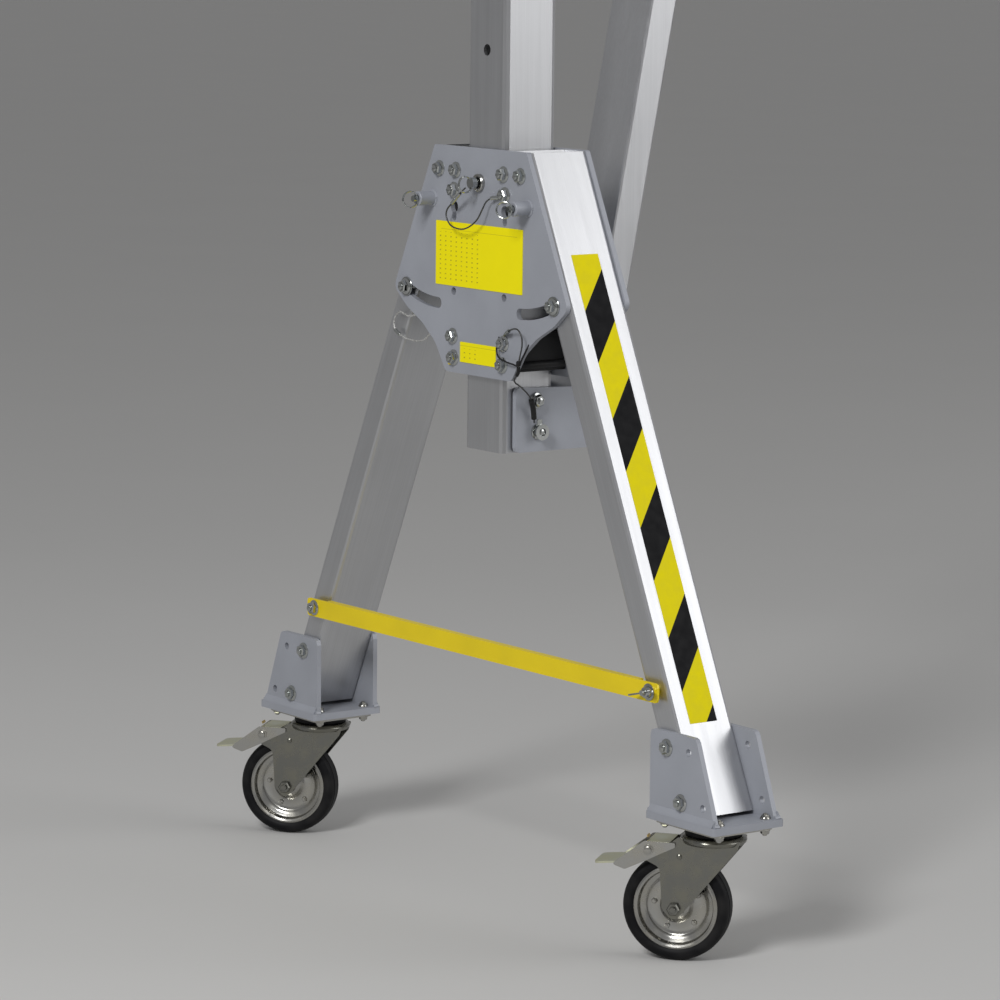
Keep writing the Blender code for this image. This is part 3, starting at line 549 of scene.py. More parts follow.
def oblong(half_x: float, half_y: float, radius: float = 0.0) -> Outline:
    """Rounded rectangle about the origin."""
    return rounded([(-half_x, -half_y, radius), (half_x, -half_y, radius),
                    (half_x, half_y, radius), (-half_x, half_y, radius)])


def rod(radius: float, low: float, high: float) -> Outline:
    """Profile of a plain rod between two heights."""
    return [(0, low), (radius, low), (radius, high), (0, high)]


def both_ways(profile: Outline) -> Outline:
    """Closed profile of a wheel part from its upper half."""
    return [*profile, *[(r, -h) for r, h in reversed(profile)]]


def mirrored(outline: Outline) -> Outline:
    """The outline on the other side of the mast."""
    return [(-x, y) for x, y in reversed(outline)]


# ---- shapes --------------------------------------------------------------------------
class Form:
    """Mesh that grows from turned, flat, swept and copied shapes."""

    def __init__(self) -> None:
        """Start with nothing."""
        self.points: list[Vector] = []
        self.faces: list[tuple[int, ...]] = []

    def grow(self, points: Iterable[Point], faces: Iterable[Sequence[int]],
             at: Matrix = HERE) -> Form:
        """Add points and the faces between them.

        Args:
            points: Points of the new part.
            faces: Their faces, counted from nought.
            at: Placement of the new part.

        Returns:
            This form.
        """
        first = len(self.points)
        self.points += [at @ Vector(p) for p in points]
        self.faces += [tuple(first + i for i in face) for face in faces]
        return self

    def copies(self, other: Form, places: Iterable[Matrix]) -> Form:
        """Add another form at each place."""
        for place in places:
            self.grow(other.points, other.faces, place)
        return self

    def turned(self, profile: Sequence[tuple[float, float]], at: Matrix = HERE,
               steps: int = 32, ring: bool = False) -> Form:
        """Add a shape turned about its own Z.

        Args:
            profile: (radius, height) points in order.
            at: Placement.
            steps: Sides.
            ring: Whether the profile closes on itself, as round a bore.

        Returns:
            This form.
        """
        points: list[Point] = []
        rows: list[list[int]] = []
        for radius, height in profile:
            if radius < AXIS:
                rows.append([len(points)])
                points.append((0, 0, height))
                continue
            rows.append(list(range(len(points), len(points) + steps)))
            points += [(x, y, height) for x, y in circle(0, 0, radius, steps)]
        faces = []
        for low, high in [*zip(rows, rows[1:]), *([(rows[-1], rows[0])] if ring else [])]:
            for k in range(steps):
                around = [low[k % len(low)], low[(k + 1) % len(low)],
                          high[(k + 1) % len(high)], high[k % len(high)]]
                face = tuple(dict.fromkeys(around))
                if len(face) > 2:
                    faces.append(face)
        return self.grow(points, faces, at)

    def slab(self, outline: Outline, thickness: float, at: Matrix = HERE,
             holes: Sequence[Outline] = ()) -> Form:
        """Add a flat plate that rises from its outline.

        Args:
            outline: Its edge.
            thickness: Height along its own Z, from nought.
            at: Placement.
            holes: Outlines cut through it.

        Returns:
            This form.
        """
        curve = bpy.data.curves.new("outline", "CURVE")
        curve.dimensions = "2D"
        curve.fill_mode = "BOTH"
        curve.extrude = thickness / 2
        for loop in [outline, *holes]:
            draw(curve, [(x, y, 0) for x, y in loop], closed=True)
        holder = bpy.data.objects.new("outline", curve)
        mesh = bpy.data.meshes.new_from_object(holder)
        self.grow([v.co for v in mesh.vertices], [list(p.vertices) for p in mesh.polygons],
                  at @ shift(0, 0, thickness / 2))
        bpy.data.objects.remove(holder)
        bpy.data.meshes.remove(mesh)
        return self

    def swept(self, path: Sequence[Point], radii: Sequence[float], closed: bool = False,
              steps: int = 8) -> Form:
        """Add a round section carried along a path.

        Args:
            path: Points of the centre line.
            radii: Radius at each point.
            closed: Whether the path is a ring.
            steps: Sides of the section.

        Returns:
            This form.
        """
        knots = [Vector(p) for p in path]
        count = len(knots)
        points: list[Point] = []
        for i, knot in enumerate(knots):
            after = knots[(i + 1) % count] if closed or i + 1 < count else knot
            before = knots[i - 1] if closed or i > 0 else knot
            turn = (after - before).to_track_quat("Z", "Y").to_matrix()
            points += [knot + turn @ Vector((x, y, 0)) for x, y in circle(0, 0, radii[i], steps)]
        spans = count if closed else count - 1
        faces: list[Sequence[int]] = []
        for i in range(spans):
            low, high = i * steps, ((i + 1) % count) * steps
            faces += [(low + k, low + (k + 1) % steps, high + (k + 1) % steps, high + k)
                      for k in range(steps)]
        if not closed:
            faces += [tuple(range(steps)), tuple(range((count - 1) * steps, count * steps))]
        return self.grow(points, faces)

    def piece(self, name: str, body: str, finish: Finish, at: Matrix = HERE,
              replaces: Sequence[str] = (), bevel: float = 0.0) -> bpy.types.Object:
        """Turn the form into a piece that rides on a body.

        Args:
            name: Name of the piece.
            body: Body that it moves with.
            finish: Its surface.
            at: Placement of the piece.
            replaces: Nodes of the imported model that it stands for.
            bevel: Width of its broken edges, or nought.

        Returns:
            The object.
        """
        mesh = bpy.data.meshes.new(name)
        mesh.from_pydata(self.points, [], self.faces)
        work = bmesh.new()
        work.from_mesh(mesh)
        bmesh.ops.remove_doubles(work, verts=work.verts, dist=JOIN)
        bmesh.ops.recalc_face_normals(work, faces=work.faces)
        work.to_mesh(mesh)
        work.free()
        made = put(name, mesh)
        made.matrix_world = at
        finish_piece(made, finish, bevel)
        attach(made, body)
        if replaces:
            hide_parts(*replaces)
        return made


def finish_piece(piece: bpy.types.Object, finish: Finish, bevel: float,
                 crease: float = radians(38), broken: float = radians(50)) -> None:
    """Give a piece its surface, smooth shading and broken edges.

    Args:
        piece: The object.
        finish: Its surface.
        bevel: Width of its broken edges, or nought.
        crease: Edges sharper than this stay sharp.
        broken: Edges sharper than this are broken.
    """
    mesh = piece.data
    mesh.materials.clear()
    mesh.materials.append(finish.material())
    mesh.polygons.foreach_set("use_smooth", [True] * len(mesh.polygons))
    mesh.set_sharp_from_angle(angle=crease)
    if bevel:
        edge = piece.modifiers.new("edges", "BEVEL")
        edge.width = bevel
        edge.segments = 2
        edge.limit_method = "ANGLE"
        edge.angle_limit = broken
        edge.harden_normals = True


def dress(frame: Mapping[str, object], node: str, finish: Finish, bevel: float) -> None:
    """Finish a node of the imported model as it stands."""
    finish_piece(frame["nodes"][node], finish, bevel)


@dataclass(frozen=True)
class FlangeBolt:
    """Hexagon head or nut on a round flange, with a shallow dish in its top."""

    across: float = 0.0098
    height: float = 0.01
    flange: float = 0.0124
    washer: float = 0.0

    def form(self) -> Form:
        """Bolt that stands on the plane z = 0, its top toward +Z."""
        base = 0.0018 if self.washer else 0.0
        r, top = self.across, self.height + base
        made = Form()
        if self.washer:
            made.turned([(0, 0), (self.washer - 0.0004, 0), (self.washer, 0.0004),
                         (self.washer, base - 0.0004), (self.washer - 0.0004, base), (0, base)])
        made.turned([(0, base), (self.flange, base), (self.flange, base + 0.0011),
                     (r * 0.97, base + 0.003), (0, base + 0.003)], steps=28)
        made.turned([(0, base + 0.001), (r, base + 0.001), (r, top - 0.0016),
                     (r * 0.84, top), (0, top)], spin(0.3), 6)
        made.turned([(0, top), (r * 0.52, top), (r * 0.52, top + 0.0016),
                     (r * 0.4, top + 0.0024), (0, top + 0.0024)], steps=16)
        return made


def ring_coil(radius: float, wire: float, at: Matrix) -> Form:
    """Split ring: two turns of flat-lying wire.

    Args:
        radius: Radius of the ring.
        wire: Radius of its wire.
        at: Placement; the ring lies in its own XY plane.

    Returns:
        The ring.
    """
    steps, turns = 32, 2
    path = []
    for k in range(steps * turns + 1):
        angle = 2 * pi * k / steps
        lift = (k / (steps * turns) - 0.5) * wire * 2 * turns
        path.append(at @ Vector((radius * cos(angle), radius * sin(angle), lift)))
    return Form().swept(path, [wire] * len(path))


def bead(start: Vector, end: Vector, radius: float) -> Form:
    """Weld bead between two points, rippled along its length."""
    count = max(int((end - start).length / 0.0022), 4)
    path = [start.lerp(end, k / count) for k in range(count + 1)]
    radii = [radius * (1.0 + 0.16 * (k % 2) + 0.07 * sin(k * 1.7)) for k in range(count + 1)]
    return Form().swept(path, radii)


# ---- sub-assemblies ------------------------------------------------------------------
@dataclass(frozen=True)
class Group:
    """Sub-assembly of one end frame, whose pieces are named after it."""

    end: End

    @property
    def tag(self) -> str:
        """Start of the names of its pieces, nodes and bodies."""
        return self.end.value

    def add(self, form: Form, name: str, body: str, finish: Finish, at: Matrix = HERE,
            replaces: Sequence[str] = (), bevel: float = 0.0) -> None:
        """Make a piece; names and bodies are given without the tag.

        Args:
            form: Its shape.
            name: Name of the piece.
            body: Body that it moves with; `upper` is shared by both frames.
            finish: Its surface.
            at: Placement in the frame's own coordinates.
            replaces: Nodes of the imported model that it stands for.
            bevel: Width of its broken edges, or nought.
        """
        carrier = body if body == "upper" else f"{self.tag}_{body}"
        form.piece(f"{self.tag}_{name}", carrier, finish, self.end.place() @ at,
                   [f"{self.tag}_{node}" for node in replaces], bevel)

    def dress(self, frame: Mapping[str, object], node: str, finish: Finish,
              bevel: float) -> None:
        """Finish a node of this group as it stands."""
        dress(frame, f"{self.tag}_{node}", finish, bevel)


@dataclass(frozen=True)
class LegGroup(Group):
    """Sub-assembly of one leg."""

    side: Side

    @property
    def tag(self) -> str:
        """Start of the names of its pieces, nodes and bodies."""
        return self.side.tag(self.end)


@dataclass(frozen=True)
class Lanyards:
    """Three wire lanyards of the near end frame, on the same routes as their solids."""

    wire: float = 0.0024
    braid: float = 0.0032
    steps: int = 3
    plunger_route: tuple[Point, ...] = (
        (0.056, -0.0608, 1.089), (0.044, -0.066, 1.089), (0.033, -0.0705, 1.083),
        (0.0263, -0.074, 1.0691), (0.0179, -0.076, 1.0555), (0.0028, -0.077, 1.0447),
        (-0.016, -0.077, 1.0382), (-0.0351, -0.0765, 1.0379), (-0.0535, -0.0755, 1.0423),
        (-0.065, -0.0745, 1.054), (-0.062, -0.075, 1.065), (-0.046, -0.0775, 1.0755),
        (-0.0203, -0.081, 1.0927), (-0.0035, -0.0835, 1.1015))
    bracket_route: tuple[Point, ...] = (
        (0.069, -0.0606, 0.8815), (0.086, -0.068, 0.8895), (0.105, -0.072, 0.8961),
        (0.1195, -0.0735, 0.8965), (0.1285, -0.073, 0.887), (0.126, -0.07, 0.872),
        (0.1165, -0.0665, 0.856), (0.109, -0.0635, 0.842), (0.101, -0.058, 0.829),
        (0.0885, -0.056, 0.815), (0.0855, -0.04, 0.804), (0.08, -0.02, 0.788),
        (0.07, -0.006, 0.769), (0.064, 0.001, 0.745))
    side_route: tuple[Point, ...] = (
        (-0.17, -0.0555, 0.8932), (-0.188, -0.058, 0.89), (-0.209, -0.059, 0.895),
        (-0.223, -0.059, 0.882), (-0.221, -0.059, 0.866), (-0.2, -0.058, 0.856),
        (-0.172, -0.057, 0.853), (-0.148, -0.056, 0.856), (-0.1305, -0.0555, 0.8684))
    tie_strand: tuple[Point, ...] = (
        (0.06, -0.064, 0.88), (0.057, -0.0665, 0.862), (0.064, -0.068, 0.85),
        (0.08, -0.068, 0.845), (0.098, -0.066, 0.842), (0.109, -0.0635, 0.841),
        (0.118, -0.061, 0.856), (0.129, -0.059, 0.874))

    def smooth(self, route: Sequence[Point]) -> list[Vector]:
        """Points of a smooth curve through a route, in the crane's coordinates."""
        knots = [End.NEAR.place() @ Vector(p) for p in route]
        path = []
        for i in range(len(knots) - 1):
            a, b = knots[max(i - 1, 0)], knots[i]
            c, d = knots[i + 1], knots[min(i + 2, len(knots) - 1)]
            for k in range(self.steps):
                t = k / self.steps
                path.append(0.5 * (2 * b + (c - a) * t + (2 * a - 5 * b + 4 * c - d) * t * t
                                   + (3 * b - a - 3 * c + d) * t ** 3))
        return [*path, knots[-1]]

    def run(self, name: str, route: Sequence[Point], diameter: float, finish: Finish,
            far_end: str, sleeves: Sequence[tuple[int, int, float, Finish]]) -> None:
        """Make one lanyard and its crimped sleeves.

        Args:
            name: Node that it stands for.
            route: Points that it passes through.
            diameter: Thickness.
            finish: Its surface.
            far_end: What its far end is; not used.
            sleeves: First and last point, radius and finish of each sleeve.
        """
        path = self.smooth(route)
        curve = bpy.data.curves.new(name, "CURVE")
        curve.dimensions = "3D"
        curve.bevel_depth = diameter / 2
        curve.bevel_resolution = 3
        curve.use_fill_caps = True
        draw(curve, path)
        curve.materials.append(finish.material())
        cord = put(f"{name}_cord", curve)
        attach(cord, "near_head")
        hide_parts(name)
        for number, (first, last, radius, coat) in enumerate(sleeves):
            part = path[first:last + 1]
            sleeve = Form().swept(part, [radius] * len(part), steps=16)
            sleeve.piece(f"{name}_sleeve_{number}", "near_head", coat, bevel=0.0004)
        length = sum((b - a).length for a, b in zip(path, path[1:]))

    def build(self) -> None:
        """Make all three."""
        self.run("near_plunger_lanyard", self.plunger_route, self.wire, CORD, "fitting",
                 [(1, 4, 0.0031, BRIGHT), (33, 36, 0.0028, BRIGHT)])
        self.run("near_bracket_lanyard", self.bracket_route, self.wire, CORD, "fitting",
                 [(1, 4, 0.003, BRIGHT), (20, 21, 0.004, SLIDE), (22, 25, 0.0028, SLIDE),
                  (34, 38, 0.0042, SLIDE)])
        self.run("near_side_lanyard", self.side_route, self.braid, BRAID, "object",
                 [(12, 14, 0.003, BRIGHT)])
        self.fittings()

    def fittings(self) -> None:
        """Ring terminal at the bracket's bolt, and the tie's second strand."""
        eye = Form().slab(circle(0, 0, 0.0125), 0.0016, shift(0.0716, 0.0105, 0.731) @ ASIDE,
                          [circle(0, 0, 0.0062)])
        eye.slab(oblong(0.0045, 0.007, 0.002), 0.0016, shift(0.07, 0.006, 0.744) @ ASIDE)
        eye.piece("near_lanyard_terminal", "upper", BRIGHT, End.NEAR.place())
        strand = self.smooth(self.tie_strand)
        Form().swept(strand, [self.wire / 2 + 0.0002] * len(strand)).piece(
            "near_tie_strand", "near_head", SLIDE)


@dataclass(frozen=True)
class Head(Group):
    """Two head plates with their bolts, sleeves, stickers and rollers, and black sheets behind the
    keyholes as painted shade.
    """

    top: float = 1.161
    low: float = 0.814
    thick: float = PLATE_OUT - PLATE_IN
    shoulder: tuple[tuple[float, float, float], ...] = (
        (0.224, 0.934, 0.016), (0.19, 0.906, 0.03), (0.148, 0.884, 0.06),
        (0.113, 0.857, 0.06))
    slot_reach: float = 0.207
    slot_half: float = 0.0085
    fold: float = radians(24.0)
    keyhole: tuple[float, float] = (0.065, 1.0685)
    spare: tuple[float, float] = (0.065, 0.939)
    lock: tuple[float, float] = (0.123, 1.078)
    index_z: float = 1.109
    bolts: tuple[tuple[float, float], ...] = (
        PIVOT, (0.061, 1.125), (0.0655, 1.094), (0.066, 0.87), (0.063, 0.837))
    sleeve: tuple[float, float] = (0.011, 0.029)
    rollers: tuple[float, float, float] = (0.0775, 0.836, 0.893)
    # place of the black sheets behind the keyholes: painted shade that makes the holes look dark
    pad: tuple[float, float, float] = (0.065, -PLATE_IN + 0.0045, 1.0575)
    sticker_colour: Colour = (0.93, 0.82, 0.0)

    def arc_slot(self) -> Outline:
        """Curved slot about the leg's pivot, with round ends."""
        start, end, half = LEG_SPLAY - self.fold, LEG_SPLAY, self.slot_half
        sweep = [start + (end - start) * k / 20 for k in range(21)]

        def at(angle: float, reach: float) -> tuple[float, float]:
            """Point at an angle from straight down."""
            return PIVOT[0] + reach * sin(angle), PIVOT[1] - reach * cos(angle)

        def cap(angle: float, first: float) -> Outline:
            """Round end."""
            x, z = at(angle, self.slot_reach)
            return [(x + half * cos(first + pi * k / 10), z + half * sin(first + pi * k / 10))
                    for k in range(1, 10)]

        return ([at(a, self.slot_reach + half) for a in sweep] + cap(end, end - pi / 2)
                + [at(a, self.slot_reach - half) for a in reversed(sweep)]
                + cap(start, start + pi / 2))

    def key_outline(self, radius: float = 0.0095, slot: float = 0.0055,
                    drop: float = 0.016) -> Outline:
        """Round hole with a narrow slot below it."""
        x, z = self.keyhole
        miss = atan2(slot, radius)
        span = 2 * pi - 2 * miss
        hole = [(x + radius * cos(-pi / 2 + miss + span * k / 24),
                 z + radius * sin(-pi / 2 + miss + span * k / 24)) for k in range(25)]
        return hole + [(x + slot * cos(pi + pi * k / 8), z - drop + slot * sin(pi + pi * k / 8))
                       for k in range(9)]

    def plate(self, at: Matrix) -> Form:
        """One head plate with all its holes."""
        half = rounded([(0, self.top, 0), (0.118, self.top, 0.005), *self.shoulder,
                        (0.085, self.low, 0.014), (0, self.low, 0)])
        right = [p for p in half if p[0] > AXIS]
        loops = [self.arc_slot(), self.key_outline(), circle(*self.spare, 0.006, 24),
                 circle(*self.lock, LOCK_BORE, 20)]
        holes = [circle(0, self.index_z, 0.0075, 24), *loops, *[mirrored(loop) for loop in loops]]
        return Form().slab([*right, *mirrored(right)], self.thick, at, holes)

    def build(self) -> None:
        """Make the plates and everything fixed to them."""
        for word, (turn, face) in zip(("outer", "inner"), FACES):
            plate = self.plate(shift(0, face * PLATE_IN, 0) @ turn)
            if word == "outer":
                self.add_sleeves(plate)
            self.add(plate, f"{word}_plate", "head", GREY, HERE, [f"{word}_head_plate"], 0.0012)
        self.add_bolts()
        self.add_stickers()
        roller = Form().turned([(0, -0.05), (0.0056, -0.05), (0.006, -0.049),
                                (0.006, 0.049), (0.0056, 0.05), (0, 0.05)], FRONT, 24)
        x, *heights = self.rollers
        rollers = Form().copies(roller, [shift(side * x, 0, z) for side in (-1, 1)
                                         for z in heights])
        self.add(rollers, "rollers", "head", SLIDE)
        # black sheets just inside the outer plate behind the keyholes: painted shade, not slide
        # pads
        pad = Form().slab(oblong(0.015, 0.0215, 0.003), 0.004)
        x, y, z = self.pad
        keyhole_shade_sheets = Form().copies(pad, [shift(side * x, y, z) @ FRONT
                                   for side in (-1, 1)])
        self.add(keyhole_shade_sheets, "slide_pads", "head", SLIDE, bevel=0.0006)

    def add_sleeves(self, plate: Form) -> None:
        """Weld a plunger sleeve to each side of the outer plate."""
        radius, length = self.sleeve
        for side in (-1, 1):
            at = shift(side * self.lock[0], -PLATE_OUT + 0.002, self.lock[1]) @ FRONT
            plate.turned([(LOCK_BORE, 0), (radius, 0), (radius, length + 0.0012),
                          (radius - 0.0008, length + 0.002), (0.0064, length + 0.002),
                          (LOCK_BORE, length + 0.0014)], at, ring=True)
            seam = [at @ Vector((x, y, 0.0022)) for x, y in circle(0, 0, radius + 0.0004, 30)]
            plate.swept(seam, [0.002 + 0.0003 * (k % 2) for k in range(30)], closed=True)

    def add_bolts(self) -> None:
        """Bolt heads outside and nuts inside, with the pivots' shanks."""
        bolt, bolts = FlangeBolt().form(), Form()
        for side in (-1, 1):
            for number, (x, z) in enumerate(self.bolts):
                around = spin(0.9 * number + side)
                for turn, face in FACES:
                    bolts.copies(bolt, [shift(side * x, face * PLATE_OUT, z) @ turn @ around])
                bolts.turned(rod(0.005, -PLATE_OUT, PLATE_OUT), shift(side * x, 0, z) @ FRONT, 16)
        self.add(bolts, "head_bolts", "head", BRIGHT, HERE,
                 [f"{side.name.lower()}_pivot_bolt" for side in Side])

    def add_stickers(self) -> None:
        """Large table sticker and the small one below it, with a dab of paint."""
        for name, half, z, table in (
                ("table", (0.1115, 0.049), 0.996, (-0.101, 0.0, -0.04, 0.033)),
                ("small", (0.046, 0.0155), 0.8475, (-0.036, -0.004, -0.009, 0.006))):
            finish = Sticker(f"{name}_sticker", "yellow_paint", self.sticker_colour, 0.55, table)
            self.add(Form().slab(oblong(*half, 0.0015), 0.0012), f"{name}_sticker", "head", finish,
                     shift(0, LIFT - PLATE_OUT, z) @ FRONT, bevel=0.0002)
        self.add(Form().slab(oblong(0.0035, 0.0045, 0.002), 0.0006), "paint_dab", "head", YELLOW,
                 shift(-0.07, -PLATE_OUT - 0.0028, 0.83) @ FRONT)


@dataclass(frozen=True)
class Plungers(Group):
    """Centre plunger in its bushing and the two leg plungers, with their split rings."""

    index_z: float = 1.109
    bushing: tuple[float, float, float] = (0.0135, 0.0089, 0.006)
    index_ring: tuple[Point, float] = ((0.0, -0.0862, 1.107), 0.0)
    lock: tuple[float, float] = (0.123, 1.078)
    lock_ring: tuple[float, float] = (-0.0998, 1.077)
    lock_turn: tuple[float, float] = (0.25, 0.95)
    ring: tuple[float, float] = (0.0122, 0.0011)

    def build(self, frame: Mapping[str, object]) -> None:
        """Dress the plungers, seat the centre one and hang their rings."""
        self.dress(frame, "index_plunger", BRIGHT, 0.001)
        outer, bore, high = self.bushing
        seat = Form().turned([(outer, 0), (outer, high - 0.0014), (outer - 0.0014, high),
                              (bore + 0.0008, high), (bore, high - 0.0008), (bore, 0)],
                             shift(0, -PLATE_OUT, self.index_z) @ FRONT, 40, ring=True)
        self.add(seat, "index_bushing", "head", ZINC)
        middle, turn = self.index_ring
        self.hang("index", Vector(middle), turn)
        for side in Side:
            name = f"{side.name.lower()}_lock"
            self.dress(frame, f"{name}_plunger", BRIGHT, 0.001)
            turn = self.lock_turn[side is Side.RIGHT]
            middle = Vector((side.value * self.lock[0] - 0.5 * self.ring[0] * sin(turn),
                             *self.lock_ring))
            self.hang(name, middle, turn)

    def hang(self, name: str, middle: Vector, turn: float) -> None:
        """Hang a split ring upright on a plunger, turned about the vertical.

        Args:
            name: Name of the plunger.
            middle: Middle of the ring.
            turn: Angle from the plane along the plunger.
        """
        at = Matrix.Translation(middle) @ spin(-turn) @ ASIDE
        self.add(ring_coil(*self.ring, at), f"{name}_ring", f"{name}_plunger_body", BRIGHT)


@dataclass(frozen=True)
class Leg(LegGroup):
    """Splayed leg with its slot bolts, tape and welded foot."""

    axis_x: float = 0.1086
    thick: float = 0.046
    tape_z: tuple[float, float] = (0.341, 1.002)
    tape_half: float = 0.025
    slot_bolt: tuple[float, float] = (0.1895, 0.9365)
    foot_top: float = 0.2185
    foot_bolts: tuple[tuple[float, float], ...] = ((0.4747, 0.318), (0.5092, 0.242))
    cheek: tuple[float, float] = (0.438, 0.586)
    base_edge: float = 0.0655
    base_under: float = 0.202
    base_bolts: tuple[tuple[float, float], ...] = (
        (0.452, -0.043), (0.577, -0.043), (0.452, 0.043), (0.577, 0.043))

    def build(self, frame: Mapping[str, object]) -> None:
        """Dress the leg and foot and add what is fixed to them."""
        hand = self.side.value
        flip = hand if self.end is End.NEAR else -hand
        self.dress(frame, "leg", LEG_TUBES[flip], 0.0006)
        self.dress(frame, "foot", GREY, 0.0014)
        self.add_bolts(hand)
        self.add_welds(hand)
        self.add_tape(hand)

    def add_bolts(self, hand: int) -> None:
        """Slot bolts, foot bolts and the bolts through the base plate."""
        washered = FlangeBolt(washer=0.015).form()
        plain = FlangeBolt(0.0102, 0.0092, 0.013).form()
        bolts = Form()
        x, z = self.slot_bolt
        for turn, face in FACES:
            bolts.copies(washered, [shift(hand * x, face * (PLATE_OUT + LIFT), z) @ turn])
            bolts.copies(plain, [shift(hand * bx, face * PLATE_OUT, bz) @ turn
                                 @ spin(bx * 40)
                                 for bx, bz in self.foot_bolts])
        bolts.turned(rod(0.006, -PLATE_OUT, PLATE_OUT), shift(hand * x, 0, z) @ FRONT, 16)
        self.add(bolts, "leg_bolts", "leg_body", BRIGHT)
        small = FlangeBolt(0.0068, 0.006, 0.0078).form()
        seats = Form()
        for bx, by in self.base_bolts:
            seats.copies(small, [shift(hand * bx, by, self.foot_top),
                                 shift(hand * bx, by, self.base_under) @ UNDER])
        self.add(seats, "base_bolts", "leg_body", ZINC)

    def add_welds(self, hand: int) -> None:
        """Sloped weld along each cheek, with lumps where the runs end."""
        (start, end), edge = self.cheek, self.base_edge
        fill, lumps = Form(), Form()
        slope = [(PLATE_OUT - 0.0008, -0.0015), (edge - 0.0006, -0.0015), (edge - 0.0004, 0.0002),
                 (PLATE_OUT + 0.003, 0.0052), (PLATE_OUT + 0.0002, 0.0105),
                 (PLATE_OUT - 0.0008, 0.0105)]
        for face, turn in ((-1, HERE), (1, spin(pi))):
            run = shift(hand * (start + end) / 2, 0, self.foot_top) @ turn
            at = run @ shift((start - end) / 2, 0, 0) @ ASIDE @ Matrix.Scale(-1, 4, (1, 0, 0))
            fill.slab(slope, end - start, at)
            for x, inward in ((start, 1), (end, -1)):
                low = Vector((hand * (x - inward * 0.0015), face * (PLATE_IN + 0.001),
                              self.foot_top + 0.0008))
                high = Vector((low.x, face * (PLATE_OUT + 0.002), self.foot_top + 0.0016))
                lumps.copies(bead(low, high, 0.0033), [HERE])
        self.add(fill, "cheek_welds", "leg_body", GREY)
        self.add(lumps, "weld_ends", "leg_body", GREY)

    def add_tape(self, hand: int) -> None:
        """Hazard tape down the middle of the leg's outer wide face."""
        low, high = self.tape_z
        middle = (low + high) / 2
        half = (high - low) / cos(LEG_SPLAY) / 2
        x = self.axis_x + (PIVOT[1] - middle) * tan(LEG_SPLAY)
        lean = spin(-hand * LEG_SPLAY, "Y")
        face = shift(hand * x, 0, middle) @ lean @ shift(hand * (self.thick / 2 - 0.0001), 0, 0)
        finish = HazardTape("hazard_tape", "yellow_paint", (0.8, 0.69, 0.0), 0.45,
                            self.tape_half, half)
        self.add(Form().slab(oblong(self.tape_half, half, 0.001), 0.0005), "tape", "leg_body",
                 finish, face @ SIDES[hand])


